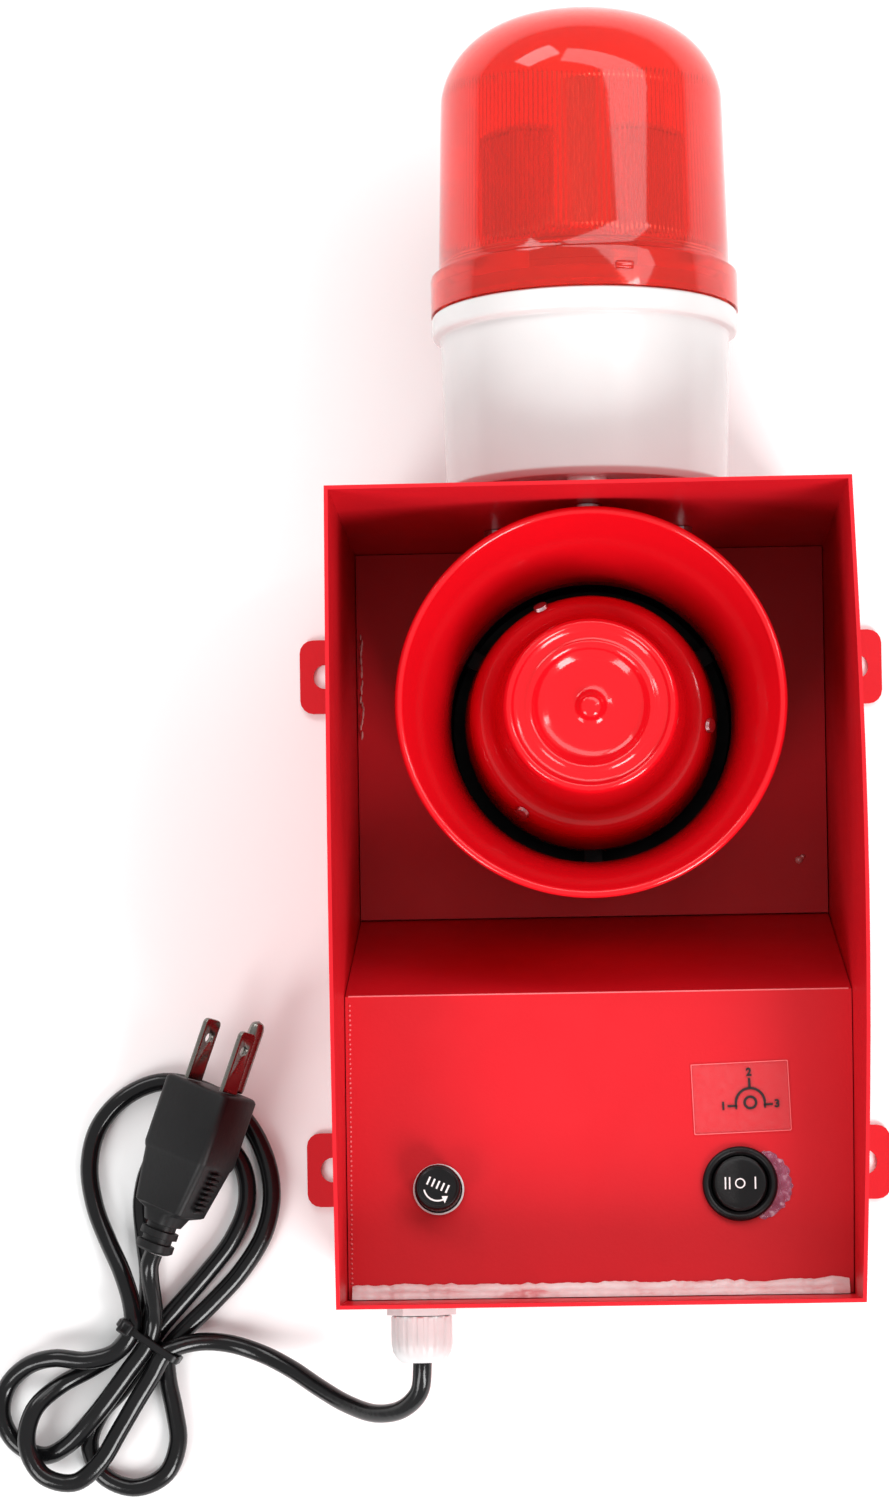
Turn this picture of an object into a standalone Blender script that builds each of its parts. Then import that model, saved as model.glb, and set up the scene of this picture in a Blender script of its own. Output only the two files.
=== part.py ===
"""Alarm siren: an open-fronted steel box with a horn, a beacon on top, a control panel and a mains lead.

The origin is the centre of the back plate's rear face. +Z points out of the open front, +Y points
towards the beacon, and +X is to the right when looking into the box. All sizes are in metres.
"""

import math

import bmesh
import bpy
from mathutils import Matrix, Vector

# Gaps and sheet thicknesses
GAP = 0.0003
SHEET = 0.0012
PLATE = 0.0015

# Steel box
BOX_HALF_X = 0.080
BOX_HALF_Y = 0.125
BOX_BACK = PLATE + GAP
BOX_FRONT = 0.150
RIGHT_WALL_BOW = 0.0030
LEFT_WALL_BOW = 0.0006
INNER_X = BOX_HALF_X - SHEET - GAP
INNER_Y = BOX_HALF_Y - SHEET

# Back plate ears
EAR_TIP_X = 0.0985
EAR_HALF_HEIGHT = 0.0125
EAR_Y = 0.0837
EAR_HOLE_X = 0.0898
EAR_HOLE_RADIUS = 0.00415
EAR_CORNER = 0.0045

# Sheets inside the box: each value is (y, z) of a corner of the front faces
HOOD_BACK_FRONT = 0.010
LEDGE_BACK = (0.0, HOOD_BACK_FRONT - SHEET)
PANEL_TOP = (-0.0287, 0.100)
PANEL_BOTTOM = (-0.1235, 0.110)
PANEL_TILT = math.atan2(PANEL_BOTTOM[1] - PANEL_TOP[1], PANEL_TOP[0] - PANEL_BOTTOM[0])
LEDGE_RISE = math.atan2(LEDGE_BACK[0] - PANEL_TOP[0], PANEL_TOP[1] - LEDGE_BACK[1])

# Tabs of the box, with the places of the back plate's screws on them
TAB_HALF_WIDTH = 0.007
TAB_REACH = 0.012
TOP_TABS_X = (-0.030, 0.030)
BOTTOM_TABS_X = (-0.060, 0.060)
BACK_SCREW_Y = 0.1175

# Horn, on an axis along Z
HORN_Y = 0.0604
HORN_RIM_RADIUS = 0.06065
HORN_RIM_Z = 0.125
HORN_THROAT_RADIUS = 0.0455
HORN_THROAT_Z = 0.0575
HORN_WALL = 0.0016
REFLECTOR_SCREW_ANGLES = (114.0, -6.0, -126.0)
BRACKET_SCREW_X = 0.030
HORN_CABLE_X = 0.012

# Beacon, on an axis along Y, with heights measured from the top of the box
BEACON_Z = 0.075
BEACON_FOOT = 0.0072
BEACON_STUD_CIRCLE = 0.034
BEACON_STUD_ANGLES = (-90.0, 30.0, 150.0)
LENS_SKIRT_RADIUS = 0.04925
LENS_STRAIGHT_TOP = 0.133
LENS_TOP = 0.161
LENS_WALL = 0.0022

# Controls on the panel
SWITCH_X, SWITCH_Y = 0.0440, -0.0893
FUSE_X, FUSE_Y = -0.0500, -0.0898
ROCKER_RADIUS = 0.0087
LABEL_X, LABEL_Y = 0.0449, -0.0624

# Cable gland and lead
GLAND_X, GLAND_Z = -0.058, 0.060
GLAND_LENGTH = 0.0210
CORD_RADIUS = 0.0031
CORD_SAMPLES = 96
BEND_WEIGHT = 0.014

# Mains plug: the middle of its face, its heading and its roll about its own axis
PLUG_FACE = Vector((-0.1286, -0.0553, 0.0285))
PLUG_YAW = math.radians(-19.9)
PLUG_PITCH = math.radians(3.0)
PLUG_ROLL = math.radians(145.0)
PLUG_LENGTH = 0.058
BLADE_SPACING = 0.0162
BLADE_LENGTH = 0.0215
BLADE_HALF_WIDTH = 0.0037
GROUND_PIN_DROP = 0.0132
GROUND_PIN_RADIUS = 0.0026
GROUND_PIN_LENGTH = 0.0255

# Tie round the hank of cord: its middle, the direction across the strands and along them
TIE_MIDDLE = Vector((-0.1521, -0.1403, 0.00815))
TIE_ACROSS = Vector((0.823, -0.568, 0.0))
TIE_ALONG = Vector((0.568, 0.823, 0.0))

ALONG_Y = Matrix.Rotation(math.radians(-90), 4, "X")
ALONG_MINUS_Y = Matrix.Rotation(math.radians(90), 4, "X")


def clear_scene():
    for obj in list(bpy.data.objects):
        bpy.data.objects.remove(obj, do_unlink=True)


def material(name, colour, roughness, metallic=0.0, alpha=1.0):
    made = bpy.data.materials.get(name)
    if made:
        return made
    made = bpy.data.materials.new(name)
    made.use_nodes = True
    made.diffuse_color = (*colour, alpha)
    shader = made.node_tree.nodes["Principled BSDF"]
    shader.inputs["Base Color"].default_value = (*colour, 1.0)
    shader.inputs["Roughness"].default_value = roughness
    shader.inputs["Metallic"].default_value = metallic
    shader.inputs["Alpha"].default_value = alpha
    return made


def red_paint():
    return material("red_paint", (0.66, 0.02, 0.03), 0.32)


def red_gloss():
    return material("red_gloss_plastic", (0.72, 0.01, 0.015), 0.18)


def red_lens():
    return material("red_lens", (0.80, 0.02, 0.02), 0.08, alpha=0.6)


def white_plastic():
    return material("white_plastic", (0.90, 0.84, 0.82), 0.35)


def black_plastic():
    return material("black_plastic", (0.02, 0.02, 0.022), 0.4)


def black_rubber():
    return material("black_rubber", (0.015, 0.015, 0.016), 0.6)


def nickel():
    return material("nickel", (0.72, 0.69, 0.64), 0.2, metallic=1.0)


def zinc():
    return material("zinc", (0.62, 0.63, 0.66), 0.35, metallic=1.0)


def circuit_board():
    return material("circuit_board", (0.03, 0.18, 0.07), 0.45)


def nylon():
    return material("white_nylon", (0.86, 0.84, 0.85), 0.4)


def sealant():
    return material("sealant", (0.90, 0.72, 0.70), 0.4)


def film():
    return material("clear_film", (0.95, 0.85, 0.85), 0.15, alpha=0.3)


def finish_object(name, mesh_builder, finish, matrix=Matrix.Identity(4), smooth=30.0):
    """Turns a bmesh into a named object with outward faces."""
    bmesh.ops.remove_doubles(mesh_builder, verts=mesh_builder.verts, dist=1e-6)
    bmesh.ops.recalc_face_normals(mesh_builder, faces=mesh_builder.faces)
    mesh = bpy.data.meshes.new(name)
    mesh_builder.to_mesh(mesh)
    mesh_builder.free()
    mesh.shade_smooth()
    mesh.set_sharp_from_angle(angle=math.radians(smooth))
    if finish:
        mesh.materials.append(finish)
    obj = bpy.data.objects.new(name, mesh)
    obj.matrix_world = matrix
    bpy.context.scene.collection.objects.link(obj)
    return obj


def turned(name, profile, finish, matrix, segments=36):
    """A turned piece about local Z. Its profile is a list of (radius, height).

    A profile that starts and ends on the axis is left open there, and any other is closed into a ring.
    """
    shape = bmesh.new()
    verts = [shape.verts.new((radius, 0.0, height)) for radius, height in profile]
    edges = [shape.edges.new(pair) for pair in zip(verts, verts[1:])]
    if profile[0][0] > 0.0:
        edges.append(shape.edges.new((verts[-1], verts[0])))
    bmesh.ops.spin(
        shape, geom=verts + edges, cent=(0, 0, 0), axis=(0, 0, 1),
        angle=math.tau, steps=segments, use_merge=True,
    )
    return finish_object(name, shape, finish, matrix)


def block(name, low, high, finish, matrix=Matrix.Identity(4), bevel=0.0):
    """A box between two corners of its local frame, with rounded edges where a bevel is given."""
    shape = bmesh.new()
    bmesh.ops.create_cube(shape, size=1.0)
    low, high = Vector(low), Vector(high)
    bmesh.ops.scale(shape, vec=high - low, verts=shape.verts)
    bmesh.ops.translate(shape, vec=(high + low) / 2, verts=shape.verts)
    if bevel:
        bmesh.ops.bevel(
            shape, geom=shape.edges[:], offset=bevel, segments=2, profile=0.5, affect="EDGES"
        )
    return finish_object(name, shape, finish, matrix)


def prism(name, outline, low, high, finish, matrix=Matrix.Identity(4)):
    """An outline of (x, y) points extruded along local Z between two heights."""
    shape = bmesh.new()
    face = shape.faces.new([shape.verts.new((x, y, low)) for x, y in outline])
    grown = bmesh.ops.extrude_face_region(shape, geom=[face])["geom"]
    top = [item for item in grown if isinstance(item, bmesh.types.BMVert)]
    bmesh.ops.translate(shape, vec=(0, 0, high - low), verts=top)
    return finish_object(name, shape, finish, matrix)


def lofted(name, rings, finish, matrix=Matrix.Identity(4)):
    """A closed piece through rings of points, each ring having the same number of them."""
    shape = bmesh.new()
    rows = [[shape.verts.new(point) for point in ring] for ring in rings]
    for lower, upper in zip(rows, rows[1:]):
        for index in range(len(lower)):
            after = (index + 1) % len(lower)
            shape.faces.new((lower[index], lower[after], upper[after], upper[index]))
    shape.faces.new(rows[0][::-1])
    shape.faces.new(rows[-1])
    return finish_object(name, shape, finish, matrix)


def round_bar(name, radius, low, high, finish, matrix, segments=16):
    return turned(name, [(0, low), (radius, low), (radius, high), (0, high)], finish, matrix, segments)


def ring(name, inner, outer, low, high, finish, matrix, segments=32):
    profile = [(inner, low), (outer, low), (outer, high), (inner, high)]
    return turned(name, profile, finish, matrix, segments)


def hex_nut(name, half_flats, hole, low, high, finish, matrix):
    corners = [polar(half_flats / math.cos(math.radians(30)), 60 * number) for number in range(6)]
    nut = prism(name, corners, low, high, finish, matrix)
    cut(nut, round_bar(f"{name}_thread", hole, low - 0.001, high + 0.001, None, matrix, 24))


def helper(obj):
    """Marks an object as a cutter or an added shape that isn't a piece of its own."""
    obj.hide_render = True
    obj.display_type = "WIRE"
    return obj


def combine(obj, other, operation):
    modifier = obj.modifiers.new(operation.lower(), "BOOLEAN")
    modifier.solver = "EXACT"
    modifier.operation = operation
    modifier.object = helper(other)


def cut(obj, cutter):
    combine(obj, cutter, "DIFFERENCE")


def add(obj, other):
    combine(obj, other, "UNION")


def at(x, y, z):
    return Matrix.Translation((x, y, z))


def arc(centre_x, centre_y, radius, start, end, steps):
    """Points on an arc, with its angles in degrees."""
    angles = [math.radians(start + (end - start) * step / steps) for step in range(steps + 1)]
    return [(centre_x + radius * math.cos(a), centre_y + radius * math.sin(a)) for a in angles]


def polar(radius, degrees):
    angle = math.radians(degrees)
    return radius * math.cos(angle), radius * math.sin(angle)


# Box


def bow(x, y, z):
    """How far a side wall bulges out of true at (y, z): most at the front edge, halfway up."""
    amount = RIGHT_WALL_BOW if x > 0 else -LEFT_WALL_BOW
    return amount * math.cos(math.pi * y / (2 * BOX_HALF_Y)) * (z / BOX_FRONT) ** 1.3


def wall_loop(half_x, half_y, z, steps):
    """One turn round the box walls at height z, with extra points up the two bowed sides."""
    rising = [-half_y + 2 * half_y * step / steps for step in range(steps + 1)]
    right = [(half_x + bow(1, y, z), y, z) for y in rising]
    left = [(-half_x + bow(-1, y, z), y, z) for y in reversed(rising)]
    return right + left


def make_housing_shell():
    steps = 12
    levels = (BOX_BACK, 0.050, 0.100, BOX_FRONT)
    shape = bmesh.new()
    skins = []
    for half_x, half_y in ((BOX_HALF_X, BOX_HALF_Y), (BOX_HALF_X - SHEET, INNER_Y)):
        loops = [wall_loop(half_x, half_y, z, steps) for z in levels]
        skins.append([[shape.verts.new(point) for point in loop] for loop in loops])
    outer, inner = skins
    count = len(outer[0])
    for index in range(count):
        after = (index + 1) % count
        for skin in skins:
            for low, high in zip(skin, skin[1:]):
                shape.faces.new((low[index], low[after], high[after], high[index]))
        for end in (0, -1):
            rim = (outer[end][index], outer[end][after], inner[end][after], inner[end][index])
            shape.faces.new(rim)
    shell = finish_object("housing_shell", shape, red_paint())
    add_tabs(shell)
    through = (BOX_HALF_Y - 0.005, BOX_HALF_Y + 0.005)
    for number, (x, z) in enumerate(beacon_stud_places(), 1):
        cut(shell, round_bar(f"stud_hole_{number}", 0.0026, *through, None, at(x, 0, z) @ ALONG_Y))
    cut(shell, round_bar("beacon_cable_hole", 0.0060, *through, None, at(0, 0, BEACON_Z) @ ALONG_Y))
    gland_place = at(GLAND_X, 0, GLAND_Z) @ ALONG_MINUS_Y
    cut(shell, round_bar("gland_hole", 0.0079, *through, None, gland_place, 32))


def back_screw_places():
    """The (x, y) of each back plate screw, first those of the top tabs."""
    top = [(x, BACK_SCREW_Y) for x in TOP_TABS_X]
    return top + [(x, -BACK_SCREW_Y) for x in BOTTOM_TABS_X]


def add_tabs(shell):
    """Tabs bent in from the top and bottom walls, each with a pilot hole for a back plate screw."""
    for number, (x, y) in enumerate(back_screw_places(), 1):
        side = math.copysign(1, y)
        low, high = sorted((side * (BOX_HALF_Y - SHEET / 2), side * (INNER_Y - TAB_REACH)))
        corner = (x - TAB_HALF_WIDTH, low, BOX_BACK)
        opposite = (x + TAB_HALF_WIDTH, high, BOX_BACK + SHEET)
        add(shell, block(f"tab_{number}", corner, opposite, None))
        cut(shell, round_bar(f"tab_pilot_{number}", 0.0018, 0.0, 0.006, None, at(x, y, 0)))


def back_plate_outline():
    """The plate's outline, anticlockwise from the lower right corner, with two ears on each side."""
    right = [(BOX_HALF_X, -BOX_HALF_Y)]
    for middle in (-EAR_Y, EAR_Y):
        low, high = middle - EAR_HALF_HEIGHT, middle + EAR_HALF_HEIGHT
        tip = EAR_TIP_X - EAR_CORNER
        right.append((BOX_HALF_X, low))
        right += arc(tip, low + EAR_CORNER, EAR_CORNER, -90, 0, 4)
        right += arc(tip, high - EAR_CORNER, EAR_CORNER, 0, 90, 4)
        right.append((BOX_HALF_X, high))
    right.append((BOX_HALF_X, BOX_HALF_Y))
    return right + [(-x, -y) for x, y in right]


def make_back_plate():
    plate = prism("back_plate", back_plate_outline(), 0.0, PLATE, red_paint())
    for side in (-1, 1):
        for end in (-1, 1):
            place = at(side * EAR_HOLE_X, end * EAR_Y, 0)
            hole = round_bar(f"ear_hole_{side}_{end}", EAR_HOLE_RADIUS, -0.001, 0.003, None, place, 24)
            cut(plate, hole)
    sink = [(0, -0.001), (0.0046, -0.001), (0.0036, 0.0), (0.0021, PLATE), (0.0021, 0.003), (0, 0.003)]
    screw = [(0, 0.0002), (0.0031, 0.0002), (0.0015, PLATE), (0.0015, 0.0065), (0, 0.0070)]
    for number, (x, y) in enumerate(back_screw_places(), 1):
        cut(plate, turned(f"sink_{number}", sink, None, at(x, y, 0), 16))
        turned(f"back_plate_screw_{number}", screw, zinc(), at(x, y, 0), 16)


def make_hood_back():
    """The sheet behind the horn, with holes for the bracket's screws and the two cables."""
    low = (-INNER_X, GAP, LEDGE_BACK[1])
    high = (INNER_X, INNER_Y - GAP, HOOD_BACK_FRONT)
    sheet = block("hood_back", low, high, red_paint())
    holes = {
        "bracket_hole_1": (0.0018, -BRACKET_SCREW_X, HORN_Y),
        "bracket_hole_2": (0.0018, BRACKET_SCREW_X, HORN_Y),
        "beacon_cable_hole_in_hood": (0.0060, 0.0, 0.1140),
        "horn_cable_hole_in_hood": (0.0045, HORN_CABLE_X, 0.0800),
    }
    for name, (radius, x, y) in holes.items():
        cut(sheet, round_bar(name, radius, 0.005, 0.015, None, at(x, y, 0)))


def panel_point(x, y, out=0.0):
    """The point of the panel's front face at x and y, moved out along the panel's normal."""
    along = (PANEL_TOP[0] - y) / (PANEL_TOP[0] - PANEL_BOTTOM[0])
    z = PANEL_TOP[1] + along * (PANEL_BOTTOM[1] - PANEL_TOP[1])
    return Vector((x, y + out * math.sin(PANEL_TILT), z + out * math.cos(PANEL_TILT)))


def panel_frame(x, y, out=0.0):
    """A frame on the panel: local Z is the panel's outward normal and local Y runs up the panel."""
    return Matrix.Translation(panel_point(x, y, out)) @ Matrix.Rotation(-PANEL_TILT, 4, "X")


def between(start, end, steps):
    """Evenly spaced points of a straight run, both ends among them."""
    shares = [step / steps for step in range(steps + 1)]
    return [(start[0] + (end[0] - start[0]) * s, start[1] + (end[1] - start[1]) * s) for s in shares]


def make_control_panel():
    """Ledge and panel, one bent sheet that follows the bowed side walls."""
    ledge = between(LEDGE_BACK, PANEL_TOP, 3)[:-1]
    front = ledge + between(PANEL_TOP, PANEL_BOTTOM, 6)
    bend = Vector((-1.0, -0.8)).normalized() * SHEET * 1.25
    back = []
    for index, (y, z) in enumerate(front):
        if index < len(ledge):
            back.append((y - SHEET / math.cos(LEDGE_RISE), z))
        elif index == len(ledge):
            back.append((y + bend.x, z + bend.y))
        else:
            back.append((y - SHEET * math.sin(PANEL_TILT), z - SHEET * math.cos(PANEL_TILT)))
    back[-1] = (PANEL_BOTTOM[0], back[-1][1])
    outline = front + back[::-1]
    shape = bmesh.new()
    left, right = [
        [shape.verts.new((side * INNER_X + bow(side, y, z), y, z)) for y, z in outline]
        for side in (-1, 1)
    ]
    for index in range(len(outline)):
        after = (index + 1) % len(outline)
        shape.faces.new((left[index], left[after], right[after], right[index]))
    for end in (left, right):
        for index in range(len(front) - 1):
            shape.faces.new((end[index], end[index + 1], end[-2 - index], end[-1 - index]))
    panel = finish_object("control_panel", shape, red_paint(), smooth=12.0)
    cut(panel, round_bar("switch_hole", 0.0101, -0.010, 0.010, None, panel_frame(SWITCH_X, SWITCH_Y), 32))
    cut(panel, round_bar("fuse_hole", 0.0063, -0.010, 0.010, None, panel_frame(FUSE_X, FUSE_Y), 24))


def make_sealant_bead():
    """A bead of sealant of uneven height in the corner between the panel and the bottom wall."""
    stations = 14
    half_length = 0.077
    floor = -INNER_Y + GAP
    near = PANEL_BOTTOM[1] + GAP
    rings = []
    for step in range(stations + 1):
        x = half_length * (2 * step / stations - 1)
        swell = 1.0 + 0.18 * math.sin(5.0 * step) + 0.10 * math.sin(2.3 * step + 1.0)
        rings.append([
            (x, floor, near),
            (x, floor, near + 0.0024 * swell),
            (x, floor + 0.0013, near + 0.0020 * swell),
            (x, floor + 0.0026 * swell, near + 0.0006),
            (x, floor + 0.0028 * swell, near),
        ])
    lofted("sealant_bead", rings, sealant())


# Horn


def bell_radius(z):
    """The inner radius of the bell, which opens faster and faster towards its rim."""
    flare = (z - HORN_THROAT_Z) / (HORN_RIM_Z - HORN_THROAT_Z)
    mouth = HORN_RIM_RADIUS - 0.0014
    return HORN_THROAT_RADIUS + (mouth - HORN_THROAT_RADIUS) * flare ** 2.1


def make_horn_bell():
    steps = 9
    bead = 0.0013
    top = HORN_RIM_Z - bead
    heights = [HORN_THROAT_Z + (top - HORN_THROAT_Z) * step / steps for step in range(steps + 1)]
    inner = [(bell_radius(z), z) for z in heights]
    edge = arc(HORN_RIM_RADIUS - bead, top, bead, 150, -60, 7)
    outer = [(bell_radius(z) + HORN_WALL, z) for z in reversed(heights[1:-1])]
    collar_inner, collar_outer = 0.0478, 0.0494
    collar = [
        (collar_outer, HORN_THROAT_Z + 0.001), (collar_outer, 0.0460),
        (collar_inner, 0.0460), (collar_inner, 0.0556), (HORN_THROAT_RADIUS, 0.0556),
    ]
    turned("horn_bell", inner + edge + outer + collar, red_gloss(), at(0, HORN_Y, 0), 40)


def make_throat_and_tube():
    axis = at(0, HORN_Y, 0)
    cup = [
        (0.0093, 0.0363), (0.0475, 0.0363), (0.0475, 0.0553), (0.0455, 0.0553), (0.0455, 0.0390),
        (0.0093, 0.0390),
    ]
    turned("horn_throat_cup", cup, black_plastic(), axis, 32)
    tube = [
        (0.0075, 0.0393), (0.0150, 0.0393), (0.0150, 0.0413), (0.0095, 0.0413), (0.0095, 0.0850),
        (0.0075, 0.0850),
    ]
    turned("horn_tone_tube", tube, black_plastic(), axis, 24)


def make_reflector():
    """The skirt, which three spokes hold inside the throat, and the cap with its stepped nose."""
    axis = at(0, HORN_Y, 0)
    skirt = [
        (0.0395, 0.0500), (0.0412, 0.0500), (0.0410, 0.0575), (0.0386, 0.0800), (0.0371, 0.0800),
        (0.0394, 0.0575),
    ]
    reflector = turned("horn_reflector", skirt, red_gloss(), axis, 32)
    for number in range(3):
        turn = Matrix.Rotation(math.radians(30 + 120 * number), 4, "Z")
        low, high = (0.0400, -0.003, 0.0500), (0.0450, 0.003, 0.0532)
        add(reflector, block(f"spoke_{number}", low, high, None, axis @ turn))
    outer = [
        (0, 0.1128), (0.0032, 0.1124), (0.0042, 0.1106), (0.0100, 0.1094), (0.0165, 0.1108),
        (0.0186, 0.1130), (0.0202, 0.1134), (0.0212, 0.1126), (0.0242, 0.1130), (0.0252, 0.1143),
        (0.0266, 0.1140), (0.0274, 0.1124), (0.0280, 0.1060), (0.0290, 0.0970), (0.0304, 0.0890),
        (0.0324, 0.0858), (0.0364, 0.0850), (0.0385, 0.0812), (0.0385, 0.0803),
    ]
    inner = [
        (0.0370, 0.0803), (0.0370, 0.0809), (0.0356, 0.0834), (0.0316, 0.0842), (0.0289, 0.0885),
        (0.0274, 0.0970), (0.0262, 0.1080), (0.0240, 0.1112), (0.0150, 0.1088), (0, 0.1078),
    ]
    cap = turned("horn_cap", outer + inner, red_gloss(), axis, 32)
    lean = Matrix.Rotation(math.radians(61), 4, "Y")
    head = [
        (0, -0.0050), (0.0012, -0.0045), (0.0012, 0.0003), (0.0024, 0.0003), (0.0022, 0.0014),
        (0, 0.0018),
    ]
    for number, angle in enumerate(REFLECTOR_SCREW_ANGLES, 1):
        place = axis @ Matrix.Rotation(math.radians(angle), 4, "Z") @ at(0.03745, 0, 0.0831) @ lean
        cut(cap, round_bar(f"cap_screw_hole_{number}", 0.0016, -0.004, 0.002, None, place, 12))
        turned(f"reflector_screw_{number}", head, zinc(), place, 16)


def make_driver():
    axis = at(0, HORN_Y, 0)
    can = [
        (0, 0.0160), (0.0325, 0.0160), (0.0325, 0.0338), (0.0380, 0.0338), (0.0380, 0.0360),
        (0.0310, 0.0360), (0.0310, 0.0178), (0, 0.0178),
    ]
    turned("driver_can", can, black_plastic(), axis, 28)
    magnet = [
        (0, 0.0181), (0.0280, 0.0181), (0.0280, 0.0285), (0.0141, 0.0285), (0.0141, 0.0205),
        (0.0119, 0.0205), (0.0119, 0.0285), (0, 0.0285),
    ]
    turned("driver_magnet", magnet, zinc(), axis, 24)
    diaphragm = [
        (0, 0.0342), (0.0070, 0.0334), (0.0126, 0.0303), (0.0126, 0.0225), (0.0134, 0.0225),
        (0.0134, 0.0305), (0.0303, 0.0305), (0.0303, 0.0311), (0.0130, 0.0311), (0.0070, 0.0341),
        (0, 0.0349),
    ]
    turned("driver_diaphragm", diaphragm, material("brown_film", (0.35, 0.20, 0.10), 0.5), axis, 24)


def make_bracket():
    arm, reach, base, thick = 0.0520, 0.0560, 0.0103, 0.0020
    outline = [
        (-arm, base), (arm, base), (arm, reach), (arm - thick, reach), (arm - thick, base + thick),
        (-arm + thick, base + thick), (-arm + thick, reach), (-arm, reach),
    ]
    upright = at(0, HORN_Y, 0) @ Matrix.Rotation(math.radians(90), 4, "X")
    bracket = prism("horn_bracket", outline, -0.010, 0.010, zinc(), upright)
    for number, side in enumerate((-1, 1), 1):
        sideways = Matrix.Rotation(math.radians(90 * side), 4, "Y")
        place = at(0, HORN_Y, 0.0505) @ sideways
        cut(bracket, round_bar(f"arm_hole_{number}", 0.0022, 0.045, 0.056, None, place))
        bolt = [
            (0, 0.0497), (0.0018, 0.0497), (0.0018, 0.0523), (0.0040, 0.0523), (0.0036, 0.0546),
            (0, 0.0550),
        ]
        turned(f"bracket_bolt_{number}", bolt, zinc(), place, 16)
        foot = at(side * BRACKET_SCREW_X, HORN_Y, 0)
        cut(bracket, round_bar(f"base_hole_{number}", 0.0018, 0.009, 0.014, None, foot))
        screw = [
            (0, 0.0070), (0.0014, 0.0072), (0.0014, 0.0126), (0.0032, 0.0126), (0.0028, 0.0144),
            (0, 0.0148),
        ]
        turned(f"bracket_screw_{number}", screw, zinc(), foot, 16)


# Beacon


def beacon_frame():
    return at(0, BOX_HALF_Y, BEACON_Z) @ ALONG_Y


def beacon_stud_places():
    """The world (x, z) of each beacon screw."""
    places = []
    for angle in BEACON_STUD_ANGLES:
        x, y = polar(BEACON_STUD_CIRCLE, angle)
        places.append((x, BEACON_Z - y))
    return places


def make_beacon_base():
    frame = beacon_frame()
    bottom = BEACON_FOOT
    profile = [
        (0.0060, bottom), (0.0440, bottom), (0.0452, bottom + 0.0012), (0.0463, 0.0570),
        (0.0488, 0.0580), (0.0490, 0.0590), (0.0490, 0.0640), (0.0484, 0.0648), (0.0447, 0.0648),
        (0.0447, 0.0720), (0.0427, 0.0720), (0.0427, 0.0585), (0.0441, 0.0560),
        (0.0430, bottom + 0.0025), (0.0060, bottom + 0.0025),
    ]
    base = turned("beacon_base", profile, white_plastic(), frame, 40)
    screw = [
        (0, -0.0050), (0.0040, -0.0046), (0.0044, -0.0030), (0.0044, -0.0015), (0.0014, -0.0015),
        (0.0014, 0.0150), (0, 0.0160),
    ]
    for number, angle in enumerate(BEACON_STUD_ANGLES, 1):
        x, y = polar(BEACON_STUD_CIRCLE, angle)
        place = frame @ at(x, y, 0)
        add(base, round_bar(f"foot_{number}", 0.0062, GAP, bottom + 0.001, None, place, 20))
        add(base, round_bar(f"post_{number}", 0.0045, bottom + 0.001, 0.0500, None, place, 12))
        cut(base, round_bar(f"pilot_{number}", 0.0018, -0.001, 0.0200, None, place, 12))
        turned(f"beacon_screw_{number}", screw, zinc(), place, 16)


def lens_profile():
    """The lens: a skirt outside the base's collar, a nearly straight wall and a rounded crown."""
    crown = LENS_TOP - LENS_STRAIGHT_TOP
    outer = [(LENS_SKIRT_RADIUS, 0.0651), (LENS_SKIRT_RADIUS, 0.0768), (0.0484, 0.0777), (0.0468, 0.0782)]
    inner = [(0.0467, 0.0651), (0.0467, 0.0738), (0.0444, 0.0738)]
    shoulder = 0.04515
    turns = 8
    under = []
    for step in range(turns + 1):
        angle = math.radians(90 * step / turns)
        reach, rise = math.cos(angle) ** 0.72, math.sin(angle) ** 1.1
        outer.append((shoulder * reach, LENS_STRAIGHT_TOP + crown * rise))
        under.append(((shoulder - LENS_WALL) * reach, LENS_STRAIGHT_TOP + (crown - LENS_WALL) * rise))
    outer[-1] = (0, LENS_TOP)
    under[-1] = (0, LENS_TOP - LENS_WALL)
    return outer[::-1] + inner + under


def make_lens():
    frame = beacon_frame()
    turned("beacon_lens", lens_profile(), red_lens(), frame, 40)
    ring("lens_seal", 0.0450, 0.0464, 0.0651, 0.0675, black_rubber(), frame, 40)


def make_lamp():
    frame = beacon_frame()
    ring("beacon_driver_board", 0.0040, 0.0400, 0.0503, 0.0519, circuit_board(), frame, 32)
    round_bar("led_tower", 0.0173, 0.0522, 0.1220, white_plastic(), frame, 6)
    round_bar("led_top_board", 0.0165, 0.1223, 0.1239, white_plastic(), frame, 24)
    grommet = [
        (0.0035, -0.0030), (0.0080, -0.0030), (0.0080, -0.0015), (0.0057, -0.0015), (0.0057, 0.0003),
        (0.0080, 0.0003), (0.0080, 0.0015), (0.0035, 0.0015),
    ]
    turned("cable_grommet", grommet, black_rubber(), frame, 20)


# Electronics


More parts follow.
